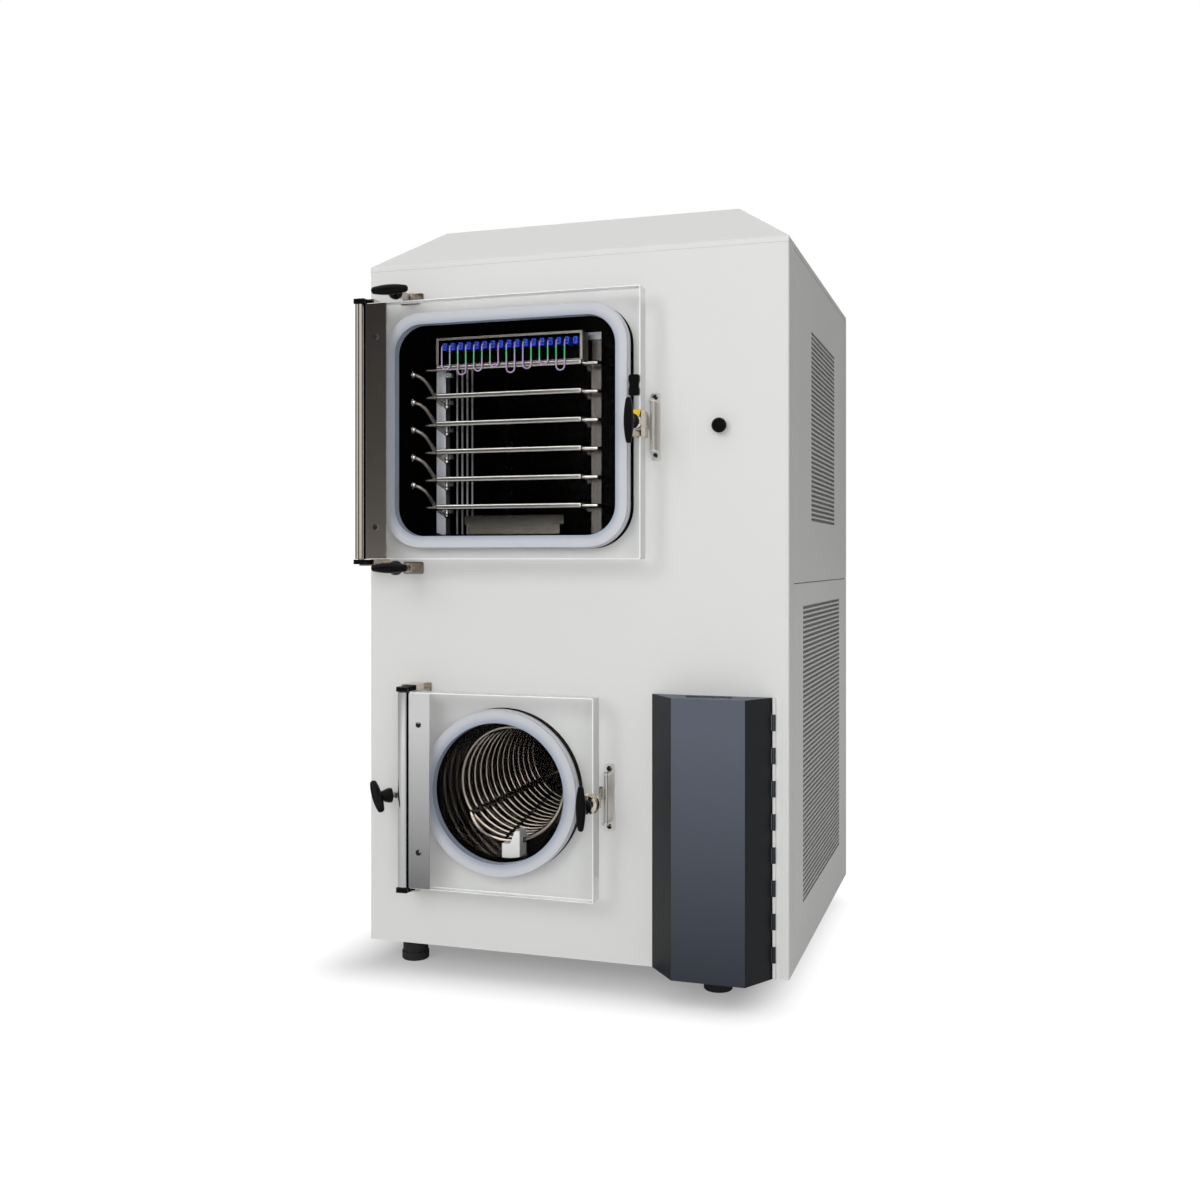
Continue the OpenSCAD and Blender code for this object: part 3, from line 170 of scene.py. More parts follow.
AIM = Vector((0, -0.3, 0.8))
for name, place, size, power in (("front soft box", (-0.9, -4.6, 2.3), 2.4, 60),
                                 ("right soft box", (2.0, -4.6, 1.4), 2.0, 42),
                                 ("top soft box", (0.2, -1.2, 4.2), 2.6, 10)):
    lamp_data = bpy.data.lights.new(name, "AREA")
    lamp_data.shape = "SQUARE"
    lamp_data.size = size
    lamp_data.energy = power
    lamp = bpy.data.objects.new(name, lamp_data)
    lamp.visible_glossy = False
    lamp.visible_transmission = False
    lamp.location = place
    lamp.rotation_euler = (AIM - lamp.location).to_track_quat("-Z", "Y").to_euler()
    scene.collection.objects.link(lamp)

floor_paint, tree = blank("white vinyl floor")
rays = add(tree, "ShaderNodeLightPath")
place = add(tree, "ShaderNodeTexCoord")
# only the floor near the machine shows its shadow; the rest is burnt out to white
SHADOW_SHIFT = (0.05, 0, 0)
SHADOW_HALF = (0.35, 0.36, 0)
centred = add(tree, "ShaderNodeVectorMath", {0: place.outputs["Object"], 1: SHADOW_SHIFT})
side = add(tree, "ShaderNodeVectorMath", {0: centred.outputs[0]}, operation="ABSOLUTE")
outside = add(tree, "ShaderNodeVectorMath", {0: side.outputs[0], 1: SHADOW_HALF}, operation="SUBTRACT")
clear = add(tree, "ShaderNodeVectorMath", {0: outside.outputs[0], 1: (0, 0, 0)}, operation="MAXIMUM")
distance = add(tree, "ShaderNodeVectorMath", {0: clear.outputs[0]}, operation="LENGTH")
burnt = add(tree, "ShaderNodeMapRange",
            {"Value": distance.outputs["Value"], "From Min": 0.0, "From Max": 0.17,
             "To Min": 0.25, "To Max": 1.0}, interpolation_type="SMOOTHSTEP")
matt = add(tree, "ShaderNodeBsdfDiffuse", {"Color": linear("#EDEDED")})
white = add(tree, "ShaderNodeEmission", {"Color": (1, 1, 1, 1), "Strength": 1.05})
fading = add(tree, "ShaderNodeMath", {0: burnt.outputs["Result"], 1: rays.outputs["Is Camera Ray"]},
             operation="MULTIPLY")
share = add(tree, "ShaderNodeMixShader", {0: fading.outputs[0], 1: matt.outputs[0], 2: white.outputs[0]})
add(tree, "ShaderNodeOutputMaterial", {"Surface": share.outputs[0]})
FLOOR_RADIUS = 40
bm = bmesh.new()
bmesh.ops.create_circle(bm, cap_ends=True, segments=64, radius=FLOOR_RADIUS)
floor_mesh = bpy.data.meshes.new("floor")
bm.to_mesh(floor_mesh)
bm.free()
floor_mesh.materials.append(floor_paint)
floor = bpy.data.objects.new("floor", floor_mesh)
scene.collection.objects.link(floor)

# ---------- cabinet panels ----------
# Folded steel sheet, powder-coated in a warm light grey. Powder coat cures to a fine
# orange-peel skin, a little duller than gloss paint; folds have a small soft radius.


def powder_coat(name, colour, grain, depth, roughness):
    """Baked powder paint: grain and depth of its orange peel are in millimetres."""
    material, tree = blank(name)
    place = add(tree, "ShaderNodeTexCoord")
    peel = add(tree, "ShaderNodeTexNoise",
               {"Vector": place.outputs["Object"], "Scale": 1 / (grain * MM), "Detail": 2.0})
    skin = add(tree, "ShaderNodeBump",
               {"Height": peel.outputs["Fac"], "Strength": 0.5, "Distance": depth * MM})
    cloud = add(tree, "ShaderNodeTexNoise", {"Vector": place.outputs["Object"], "Scale": 2.5, "Detail": 3.0})
    tone = add(tree, "ShaderNodeMapRange",
               {"Value": cloud.outputs["Fac"], "From Min": 0.3, "From Max": 0.7,
                "To Min": roughness - 0.03, "To Max": roughness + 0.04})
    duller = tuple(0.965 * c for c in linear(colour)[:3]) + (1,)
    shade = add(tree, "ShaderNodeMix", {0: cloud.outputs["Fac"], 6: linear(colour), 7: duller},
                data_type="RGBA")
    paint = add(tree, "ShaderNodeBsdfPrincipled",
                {"Base Color": shade.outputs[2], "Roughness": tone.outputs["Result"], "IOR": 1.5,
                 "Normal": skin.outputs["Normal"]})
    add(tree, "ShaderNodeOutputMaterial", {"Surface": paint.outputs[0]})
    return material


def dress(material, *names):
    """Puts a material on CAD nodes as they are."""
    for name in names:
        mesh = NODES[name].data
        mesh.materials.clear()
        mesh.materials.append(material)


def body_of(node):
    """The body that a CAD node belongs to."""
    return NODES[node]["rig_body"]


def piece(name, bm, materials, body, stands_for=(), sharp=32):
    """Makes a bmesh into a finished piece that rides on a body and stands for some CAD nodes.
    Creases of more than so many degrees stay sharp."""
    for face in bm.faces:
        face.smooth = True
    for edge in bm.edges:
        edge.smooth = len(edge.link_faces) == 2 and edge.calc_face_angle(0) < math.radians(sharp)
    mesh = bpy.data.meshes.new(name)
    bm.to_mesh(mesh)
    bm.free()
    for material in materials if isinstance(materials, (list, tuple)) else [materials]:
        mesh.materials.append(material)
    thing = bpy.data.objects.new(name, mesh)
    scene.collection.objects.link(thing)
    flat = thing.modifiers.new("flat faces stay flat", "WEIGHTED_NORMAL")
    flat.keep_sharp = True
    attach(thing, body)
    if stands_for:
        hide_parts(*stands_for)
    return thing


def eased(node, material, width=0.0, segments=2, sharp=30, other=None):
    """A CAD node's own shape, shaded smooth, with its sharp edges broken by so many millimetres.
    other gives each face the place of its material in the list; without it, all take the first."""
    bm = bmesh.new()
    bm.from_mesh(NODES[node].data)
    bmesh.ops.remove_doubles(bm, verts=bm.verts, dist=0.01 * MM)
    bmesh.ops.dissolve_limit(bm, angle_limit=math.radians(0.5), verts=bm.verts, edges=bm.edges)
    if width:
        corners = [e for e in bm.edges
                   if len(e.link_faces) == 2 and e.calc_face_angle(0) > math.radians(sharp)]
        bmesh.ops.bevel(bm, geom=corners, offset=width * MM, offset_type="OFFSET", affect="EDGES",
                        segments=segments, profile=0.5, material=-1, clamp_overlap=True)
    bmesh.ops.dissolve_degenerate(bm, dist=0.01 * MM, edges=bm.edges)
    for face in bm.faces:
        face.material_index = int(other(face)) if other else 0
    return piece(node + "_finish", bm, material, body_of(node), (node,))


cabinet_paint = powder_coat("light grey powder coat", "#DEDEDC", 1.6, 0.12, 0.42)
dress(cabinet_paint, "front_panel", "rear_panel")
eased("hood", cabinet_paint, 2.5, 3, 10)

# ---------- side panels ----------
# Each side is two sheets punched with thousands of small round holes, far finer than the
# CAD's field. The walls of the holes and the inside of the sheet are painted black as painted shade.
black_primer = powder_coat("black paint for painted shade", "#0C0C0D", 1.6, 0.1, 0.7)
HOLE_PITCH = 9.5
HOLE_RADIUS = 3.9
HOLE_SIDES = 8
SHEET = 2


def one_hole():
    """A square cell of sheet with one round hole through it; its outside edges are left open."""
    bm = bmesh.new()
    bmesh.ops.create_circle(bm, cap_ends=True, segments=HOLE_SIDES, radius=1)
    outer = set(bm.verts)
    for v in outer:
        v.co *= HOLE_PITCH * MM / 2 / max(abs(v.co.x), abs(v.co.y))
    square = list(bm.faces)
    bmesh.ops.inset_region(bm, faces=square, thickness=MM, use_boundary=True)
    for v in set(bm.verts) - outer:
        v.co = v.co.normalized() * HOLE_RADIUS * MM
    bmesh.ops.delete(bm, geom=square, context="FACES_ONLY")
    front = list(bm.faces)
    back = bmesh.ops.duplicate(bm, geom=list(bm.verts) + list(bm.edges) + front)["geom"]
    bmesh.ops.translate(bm, verts=[g for g in back if isinstance(g, bmesh.types.BMVert)],
                        vec=(0, 0, -SHEET * MM))
    bmesh.ops.reverse_faces(bm, faces=[g for g in back if isinstance(g, bmesh.types.BMFace)])
    holes = [e for e in bm.edges
             if e.is_boundary and max(v.co.xy.length for v in e.verts) < 1.1 * HOLE_RADIUS * MM]
    # the hole walls take the black painted shade
    for wall in bmesh.ops.bridge_loops(bm, edges=holes)["faces"]:
        wall.material_index = 1
    return bm


def punched_panel(name, right, y0, y1, z0, z1, field_y, field_z, columns, rows, node):
    """A side panel between two depths and two heights, with so many columns and rows of holes from
    the field's front lower corner."""
    bm = one_hole()
    for count, step in ((columns, (HOLE_PITCH * MM, 0, 0)), (rows, (0, HOLE_PITCH * MM, 0))):
        bmesh.ops.spin(bm, geom=list(bm.verts) + list(bm.edges) + list(bm.faces), cent=(0, 0, 0),
                       axis=(0, 0, 1), dvec=step, angle=0, steps=count - 1, use_duplicate=True)
    bmesh.ops.remove_doubles(bm, verts=bm.verts, dist=0.01 * MM)
    # the field's own edges are drawn out to the edges of the panel
    wide = [(-HOLE_PITCH / 2 * MM, (count - 0.5) * HOLE_PITCH * MM) for count in (columns, rows)]
    far = (((y0 - field_y - HOLE_PITCH / 2) * MM, (y1 - field_y - HOLE_PITCH / 2) * MM),
           ((z0 - field_z - HOLE_PITCH / 2) * MM, (z1 - field_z - HOLE_PITCH / 2) * MM))
    edges = [e for e in bm.edges if e.is_boundary]
    drawn = bmesh.ops.extrude_edge_only(bm, edges=edges)["geom"]
    border = [g for g in drawn if isinstance(g, bmesh.types.BMVert)]
    for v in border:
        for axis in (0, 1):
            for end in (0, 1):
                if abs(v.co[axis] - wide[axis][end]) < 0.1 * MM:
                    v.co[axis] = far[axis][end]
                    break
    bmesh.ops.bridge_loops(bm, edges=[e for e in bm.edges if e.is_boundary])
    bmesh.ops.recalc_face_normals(bm, faces=bm.faces)
    # sheet X runs back, sheet Y runs up and sheet Z faces out
    if right:
        place = Matrix(((0, 0, 1, 0), (1, 0, 0, 0), (0, 1, 0, 0), (0, 0, 0, 1)))
        corner = spot(CABINET_WIDTH, field_y + HOLE_PITCH / 2, field_z + HOLE_PITCH / 2)
    else:
        place = Matrix(((0, 0, -1, 0), (1, 0, 0, 0), (0, 1, 0, 0), (0, 0, 0, 1)))
        corner = spot(0, field_y + HOLE_PITCH / 2, field_z + HOLE_PITCH / 2)
    bmesh.ops.transform(bm, matrix=Matrix.Translation(corner) @ place, verts=bm.verts)
    if not right:
        bmesh.ops.reverse_faces(bm, faces=bm.faces)
    # the inside face takes the black painted shade
    inward = -1 if right else 1
    for face in bm.faces:
        if face.normal.x * inward > 0.9:
            face.material_index = 1
    return piece(name, bm, [cabinet_paint, black_primer], body_of(node), (node,), 25)


def block(bm, low, high):
    """A box between two corners."""
    cube = bmesh.ops.create_cube(bm, size=1)["verts"]
    size = Vector(high) - Vector(low)
    middle = (Vector(low) + Vector(high)) / 2
    bmesh.ops.transform(bm, matrix=Matrix.Translation(middle) @ Matrix.Diagonal((*size, 1)), verts=cube)
    return cube


CABINET_WIDTH = 836
PANEL_FRONT, PANEL_BACK = 57, 824
PANEL_TOP = 1323.4
SEAM_LOW, SEAM_HIGH = 709.2, 710.8
STRIP_INSET = 4
STRIP_THICKNESS = 1.5
for right in (True, False):
    side = "right" if right else "left"
    punched_panel("upper_%s_side" % side, right, PANEL_FRONT, PANEL_BACK, SEAM_HIGH, PANEL_TOP,
                  267, 830, 36, 40, "upper_side_panels")
    punched_panel("lower_%s_side" % side, right, PANEL_FRONT, PANEL_BACK, 0, SEAM_LOW,
                  161, 97, 56, 60, "lower_side_panels")
    # a black strip behind the seam is painted shade, so the seam reads as a dark line
    strip_x = CABINET_WIDTH - STRIP_INSET - STRIP_THICKNESS if right else STRIP_INSET
    strip = bmesh.new()
    block(strip, spot(strip_x, 120, SEAM_LOW - 11.2), spot(strip_x + STRIP_THICKNESS, 780, SEAM_HIGH + 11.2))
    piece("%s_seam_shade_strip" % side, strip, black_primer, body_of("lower_side_panels"))

# ---------- frame and feet ----------
# Welded square tube and a base pan, painted dark; four turned rubber feet under the pan.
frame_paint = powder_coat("black frame paint", "#1E1F20", 2.0, 0.1, 0.5)
dress(frame_paint, "cabinet_frame")


def moulded(name, colour, roughness, grain, depth, ior=1.5):
    """Moulded plastic or rubber with the fine texture of its mould; grain and depth in millimetres."""
    material, tree = blank(name)
    place = add(tree, "ShaderNodeTexCoord")
    spark = add(tree, "ShaderNodeTexNoise",
                {"Vector": place.outputs["Object"], "Scale": 1 / (grain * MM), "Detail": 3.0})
    skin = add(tree, "ShaderNodeBump",
               {"Height": spark.outputs["Fac"], "Strength": 0.6, "Distance": depth * MM})
    wear = add(tree, "ShaderNodeMapRange", {"Value": spark.outputs["Fac"], "From Min": 0.3, "From Max": 0.7,
                                            "To Min": roughness - 0.05, "To Max": roughness + 0.05})
    body = add(tree, "ShaderNodeBsdfPrincipled",
               {"Base Color": linear(colour), "Roughness": wear.outputs["Result"], "IOR": ior,
                "Normal": skin.outputs["Normal"]})
    add(tree, "ShaderNodeOutputMaterial", {"Surface": body.outputs[0]})
    return material


foot_rubber = moulded("black rubber", "#1A1A1B", 0.6, 1.2, 0.08)
eased("feet", foot_rubber)

# ---------- stainless chambers ----------
# Welded stainless sheet, pickled inside, painted far darker than bare steel as painted shade, so the
# chambers read nearly black behind the doors. The round one is polished, and mirrors its coil.


def steel(name, colour, roughness, grain=None, depth=0.02, axis="Z", fade=None):
    """Stainless steel; grain is the spacing of its brush lines in millimetres, depth is theirs, and axis
    is the way they run. fade is a colour and the two heights, in metres, between which it gives way
    to the main one."""
    material, tree = blank(name)
    place = add(tree, "ShaderNodeTexCoord")
    inputs = {"Base Color": linear(colour), "Metallic": 1.0, "Roughness": roughness}
    if fade:
        level = add(tree, "ShaderNodeSeparateXYZ", {"Vector": place.outputs["Object"]})
        rise = add(tree, "ShaderNodeMapRange",
                   {"Value": level.outputs["Z"], "From Min": fade[1], "From Max": fade[2]})
        tint = add(tree, "ShaderNodeMix", {0: rise.outputs["Result"], 6: linear(fade[0]), 7: linear(colour)},
                   data_type="RGBA")
        inputs["Base Color"] = tint.outputs[2]
    if grain:
        stretch = {"X": (0.02, 1, 1), "Y": (1, 0.02, 1), "Z": (1, 1, 0.02)}[axis]
        lines = add(tree, "ShaderNodeMapping", {"Vector": place.outputs["Object"], "Scale": stretch})
        brushed = add(tree, "ShaderNodeTexNoise",
                      {"Vector": lines.outputs["Vector"], "Scale": 1 / (grain * MM), "Detail": 3.0})
        skin = add(tree, "ShaderNodeBump",
                   {"Height": brushed.outputs["Fac"], "Strength": 0.4, "Distance": depth * MM})
        spread = add(tree, "ShaderNodeMapRange",
                     {"Value": brushed.outputs["Fac"], "From Min": 0.3, "From Max": 0.7,
                      "To Min": roughness * 0.8, "To Max": roughness * 1.25})
        inputs["Roughness"] = spread.outputs["Result"]
        inputs["Normal"] = skin.outputs["Normal"]
    metal = add(tree, "ShaderNodeBsdfPrincipled", inputs)
    add(tree, "ShaderNodeOutputMaterial", {"Surface": metal.outputs[0]})
    return material


chamber_steel = steel("chamber steel in painted shade", "#0B0B0B", 0.22)
mirror_steel = steel("electropolished chamber steel in painted shade", "#4A423B", 0.09)
# even seen along its surface, pickled steel is no mirror
# its grazing sheen is damped as well, so the painted shade stays dark
chamber_steel.node_tree.nodes["Principled BSDF"].inputs["Specular Tint"].default_value = (0.1, 0.1, 0.1, 1)
dress(chamber_steel, "product_chamber", "vapor_duct")
dress(mirror_steel, "condenser_chamber")

# ---------- door seals ----------
# Moulded silicone rings, milky and slightly blue, with a rounded face that the acrylic
# doors press flat.


def milky_silicone(name, middle, core, inside, outside):
    """Translucent silicone, bluer at its inside edge than at its outside edge. Both are distances, in
    metres, from a flat core: a rectangle of so much half width and half height round the middle."""
    silicone, tree = blank(name)
    place = add(tree, "ShaderNodeTexCoord")
    away = place.outputs["Object"]
    # the core's y of 1 takes depth out of the distance
    for operation, other in (("SUBTRACT", middle), ("ABSOLUTE", (0, 0, 0)),
                             ("SUBTRACT", (core[0], 1, core[1])), ("MAXIMUM", (0, 0, 0))):
        away = add(tree, "ShaderNodeVectorMath", {0: away, 1: other}, operation=operation).outputs[0]
    distance = add(tree, "ShaderNodeVectorMath", {0: away}, operation="LENGTH")
    rise = add(tree, "ShaderNodeMapRange",
               {"Value": distance.outputs["Value"], "From Min": inside, "From Max": outside},
               interpolation_type="SMOOTHSTEP")
    tint = add(tree, "ShaderNodeMix", {0: rise.outputs[0], 6: linear("#9CA5B5"), 7: linear("#CACBD1")},
               data_type="RGBA")
    surface = add(tree, "ShaderNodeBsdfPrincipled",
                  {"Base Color": tint.outputs[2], "Roughness": 0.3, "IOR": 1.41})
    add(tree, "ShaderNodeOutputMaterial", {"Surface": surface.outputs[0]})
    return silicone


def seal_ring(node, opening, corner):
    """A ring with a rounded lip by the door and a narrower neck on the panel, round the chamber's
    steel mouth. opening is the half width and half height of the space inside it, and corner is
    that space's radius."""
    low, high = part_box(node)
    middle = (low + high) / 2
    core = [(half - corner) * MM for half in opening]
    wall = high.x - middle.x - opening[0] * MM
    silicone = milky_silicone("milky silicone of the " + node.replace("_", " "), middle, core,
                              corner * MM, corner * MM + BLUE_SHARE * wall)
    ring = eased(node, [silicone, chamber_steel], FACE_RADIUS, 4)
    bm = bmesh.new()
    bm.from_mesh(ring.data)
    bmesh.ops.bisect_plane(bm, geom=list(bm.verts) + list(bm.edges) + list(bm.faces), dist=0.01 * MM,
                           plane_co=low + Vector((0, MOUTH_DEPTH, 0)) * MM, plane_no=(0, 1, 0))
    for v in bm.verts:
        out = v.co - middle
        out.y = 0
        for axis, half in zip((0, 2), core):
            out[axis] -= max(-half, min(half, out[axis]))
        inner = out.length < corner * MM + wall / 2
        front = v.co.y < low.y + (MOUTH_DEPTH + 1) * MM
        if front:
            grow = LIP_INSIDE if inner else LIP_OUTSIDE
        else:
            grow = 0 if inner else -NECK_INSET
        v.co += out.normalized() * MM * grow
        v.co.y = max(v.co.y, low.y + AIR_GAP * MM)
        # the neck's inside takes the dark chamber steel as painted shade
        if inner and not front:
            for face in v.link_faces:
                if face.calc_center_median().y > low.y + MOUTH_DEPTH * MM:
                    face.material_index = 1
    bm.to_mesh(ring.data)
    bm.free()


BLUE_SHARE = 0.7
FACE_RADIUS = 5.0
MOUTH_DEPTH = 19
LIP_INSIDE = 4
LIP_OUTSIDE = 2
NECK_INSET = 9
AIR_GAP = 0.4
seal_ring("product_seal", (219, 199.5), 52)
seal_ring("condenser_seal", (131, 131), 131)

# ---------- shelves and rack ----------
# Hollow stainless shelves with rounded edges on folded channel posts. A braided steel hose
# feeds each of the five upper spaces, from a fitting on the wall to one under a shelf.
shelf_steel = steel("polished shelf steel", "#C2BFBB", 0.09)
rack_steel = steel("satin rack steel", "#F2F5FA", 0.42, 1.5, 0.004, "Z")
bright_steel = steel("bright tube steel", "#D0CDC8", 0.10)
eased("shelves", shelf_steel, 3.6, 4)
# dimmer and darker copies of the rack steel are painted shade
dim_steel = steel("rack steel in shade", "#6F6B67", 0.2)
deep_steel = steel("rack steel in deep painted shade", "#242322", 0.3)
rack_low, rack_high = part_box("shelf_rack")
rack_middle = (rack_low + rack_high) / 2


def rack_shade(face):
    """Which steel a face of the rack takes, as painted light and shade: the front left posts are bright, the
    front right ones dimmer and the back ones dark.
    """
    middle = face.calc_center_median()
    return 2 if middle.y > rack_middle.y else int(middle.x > rack_middle.x)


eased("shelf_rack", [rack_steel, dim_steel, deep_steel], other=rack_shade)
# the tray's steel is painted dark as painted shade, lighter towards its bottom; only the top of its rim keeps
# bright steel
tray_low, tray_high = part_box("drip_tray")
tray_steel = steel("drip tray steel in painted shade", "#45423E", 0.2,
                   fade=("#8F8B80", tray_low.z + 4 * MM, tray_high.z - 4 * MM))
eased("drip_tray", [tray_steel, bright_steel], 0.5,
      other=lambda face: face.normal.z > 0.5 and face.calc_center_median().z > tray_high.z - MM)
eased("fluid_tubes", bright_steel)


def bent_tube(name, path, radius, material, body, stands_for):
    """A round tube along a list of places, which stands for some CAD nodes; its radius is in
    millimetres."""
    curve = bpy.data.curves.new(name, "CURVE")
    curve.dimensions = "3D"
    curve.bevel_depth = radius * MM
    curve.bevel_resolution = 4
    curve.use_fill_caps = True
    line = curve.splines.new("POLY")
    line.points.add(len(path) - 1)
    for point, place in zip(line.points, path):
        point.co = (*place, 1)
    line.use_smooth = True
    curve.materials.append(material)
    thing = bpy.data.objects.new(name, curve)
    scene.collection.objects.link(thing)
    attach(thing, body)
    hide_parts(*stands_for)
    return thing


def free_cord(name, path, diameter, material, node):
    """A cord along a list of places, with both ends in the object; its diameter is in millimetres."""
    cord = bent_tube(name, path, diameter / 2, material, body_of(node), (node,))
    reach = sum((end - start).length for start, end in zip(path, path[1:]))
    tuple(path[0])


braid = steel("braided hose steel", "#8C8781", 0.28, 1.6, 0.25, "Y")
# the ball ends of the lowest hose, over its own level
wall_ball = Vector((89.5, 24, 44))
shelf_ball = Vector((140, 70, -15.5))
hose_out = Vector((0.92, 0.22, -0.32)).normalized()
hose_in = Vector((0.80, 0.35, -0.48)).normalized()
HOSE_START = 5.7
HOSE_PULL = 32
HOSE_POINTS = 16
HOSE_DIAMETER = 7
HOSE_LEVEL = 857.5
SHELF_PITCH = 54.6
for shelf in range(5):
    height = Vector((0, 0, HOSE_LEVEL + SHELF_PITCH * shelf))
    leaves = wall_ball + HOSE_START * hose_out + height
    enters = shelf_ball - HOSE_START * hose_in + height
    route = interpolate_bezier(leaves, leaves + HOSE_PULL * hose_out,
                               enters - HOSE_PULL * hose_in, enters, HOSE_POINTS)
    free_cord("shelf_hose_%d" % (shelf + 1), [spot(*q) for q in route], HOSE_DIAMETER, braid,
              "shelf_hoses")

# ---------- sensor panel ----------
# A folded stainless box, painted dark inside its bright rim as painted shade, with a row of blue miniature
# sockets.
# Each lead is a limp loop from one socket to the next, lilac with green sleeves.
rim_steel = steel("sensor-box steel", "#A9A49C", 0.25)
shaded_steel = steel("sensor plate in painted shade", "#0B0B0C", 0.35)
rim_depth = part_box("sensor_panel")[0].y + MM
eased("sensor_panel", [shaded_steel, rim_steel], 0.4,
      other=lambda face: face.calc_center_median().y < rim_depth)
blue_plastic = moulded("blue connector nylon", "#1746D8", 0.3, 0.8, 0.02)
eased("sensor_sockets", blue_plastic)

SLEEVE_MIDDLE = 1151
SLEEVE_REACH = 11
lead_jacket, tree = blank("lilac and green lead jacket")
place = add(tree, "ShaderNodeTexCoord")
patches = add(tree, "ShaderNodeTexNoise", {"Vector": place.outputs["Object"], "Scale": 55.0, "Detail": 0.0})
sleeve = add(tree, "ShaderNodeMath", {0: patches.outputs["Fac"], 1: 0.44}, operation="GREATER_THAN")
height = add(tree, "ShaderNodeSeparateXYZ", {0: place.outputs["Object"]})
halfway = add(tree, "ShaderNodeMath",
              {0: height.outputs[2], 1: spot(0, 0, SLEEVE_MIDDLE).z, 2: SLEEVE_REACH * MM},
              operation="COMPARE")
sleeve = add(tree, "ShaderNodeMath", {0: sleeve.outputs[0], 1: halfway.outputs[0]}, operation="MULTIPLY")
tint = add(tree, "ShaderNodeMix", {0: sleeve.outputs[0], 6: linear("#C3A5CF"), 7: linear("#4FD47C")},
           data_type="RGBA")
rubbery = add(tree, "ShaderNodeBsdfPrincipled", {"Base Color": tint.outputs[2], "Roughness": 0.4})
add(tree, "ShaderNodeOutputMaterial", {"Surface": rubbery.outputs[0]})

FIRST_SOCKET = 151
SOCKET_PITCH = 17
SOCKET_DEPTH = 39
SOCKET_HEIGHT = 1174
LOOP_DEPTH = 22.4
LOOP_DROP = 38
LOOP_STAGGER = 6
TURN = 5.5
LEAD_DIAMETER = 2.6
for lead in range(8):
    x = FIRST_SOCKET + 2 * lead * SOCKET_PITCH
    bottom = SOCKET_HEIGHT - LOOP_DROP - LOOP_STAGGER * (2 * lead % 3)
    elbow = [(LOOP_DEPTH + TURN - TURN * math.sin(math.radians(a)),
              SOCKET_HEIGHT - TURN + TURN * math.cos(math.radians(a))) for a in (0, 30, 60, 90)]
    route = [(x, SOCKET_DEPTH, SOCKET_HEIGHT)] + [(x, y, z) for y, z in elbow]
    route += [(x + SOCKET_PITCH / 2 * (1 - math.cos(math.radians(a))), LOOP_DEPTH,
               bottom - SOCKET_PITCH / 2 * math.sin(math.radians(a))) for a in (22.5 * k for k in range(9))]
    route += [(x + SOCKET_PITCH, y, z) for y, z in reversed(elbow)]
    route += [(x + SOCKET_PITCH, SOCKET_DEPTH, SOCKET_HEIGHT)]
    free_cord("sensor_lead_%d" % (lead + 1), [spot(*q) for q in route], LEAD_DIAMETER, lead_jacket,
              "sensor_leads")

# ---------- condenser coil ----------
# Bent stainless tube, electropolished: a straight run from the back to the mouth, then 14
# turns back again. A white block holds it, and a dark sensor tube crosses it.
COIL_X, COIL_Z = 289.5, 319


def coil_place(degrees, radius, y):
    """A place in the coil, by angle from the right, distance from its middle and depth."""
    return spot(COIL_X + radius * math.cos(math.radians(degrees)), y,
                COIL_Z + radius * math.sin(math.radians(degrees)))


RUN_ANGLE, RUN_RADIUS = 216, 93
FIRST_ANGLE, COIL_RADIUS = 250, 110
COIL_FRONT = 34
COIL_PITCH = 30
COIL_TURNS = 14
COIL_STEPS = 40
TUBE_RADIUS = 5
coil = [coil_place(RUN_ANGLE, RUN_RADIUS, 474 - 76 * k) for k in range(7)]
coil += [coil_place(RUN_ANGLE + (FIRST_ANGLE - RUN_ANGLE) * k / 6,
                    RUN_RADIUS + (COIL_RADIUS - RUN_RADIUS) * k / 6,
                    20 - 6 * math.sin(math.radians(30 * k)) + 1.5 * k) for k in range(1, 6)]
coil += [coil_place(FIRST_ANGLE + 360 * k / COIL_STEPS, COIL_RADIUS, COIL_FRONT + COIL_PITCH * k / COIL_STEPS)
         for k in range(COIL_TURNS * COIL_STEPS + 1)]
coil += [coil_place(FIRST_ANGLE + 6 * min(k, 3), COIL_RADIUS, COIL_FRONT + COIL_TURNS * COIL_PITCH + 5 * k)
         for k in range(1, 5)]
coil_steel = steel("electropolished coil steel", "#A59C93", 0.05)
bent_tube("condenser_coil_tube", coil, TUBE_RADIUS, coil_steel,
          body_of("condenser_coil"), ("condenser_coil",))
white_ptfe = moulded("white PTFE", "#F6F6F4", 0.4, 1.0, 0.02, 1.38)
eased("coil_spacer", white_ptfe, 0.8)
probe_steel = steel("dark probe sheath", "#1A1918", 0.25)
eased("coil_probe", probe_steel)

# ---------- doors ----------
# Thick cast acrylic plates whose edges and rounded corners are whitened as painted highlights, on
# full-height stainless hinge leaves rolled round the pin.
acrylic, tree = blank("clear cast acrylic")
rays = add(tree, "ShaderNodeLightPath")
clear = add(tree, "ShaderNodeBsdfPrincipled",
            {"Base Color": linear("#FFFFFF"), "Roughness": 0.0, "IOR": 1.49, "Transmission Weight": 1.0,
             "Specular Tint": (0.06, 0.06, 0.06, 1)})
open_air = add(tree, "ShaderNodeBsdfTransparent", {"Color": linear("#FCFDFD")})
straight = add(tree, "ShaderNodeMath", {0: rays.outputs["Is Shadow Ray"], 1: rays.outputs["Is Diffuse Ray"]},
               operation="MAXIMUM")
plate = add(tree, "ShaderNodeMixShader",
            {0: straight.outputs[0], 1: clear.outputs[0], 2: open_air.outputs[0]})
add(tree, "ShaderNodeOutputMaterial", {"Surface": plate.outputs[0]})
acrylic_edge = moulded("acrylic edge whitened as painted highlight", "#FFFFFF", 0.1, 6.0, 0.02)
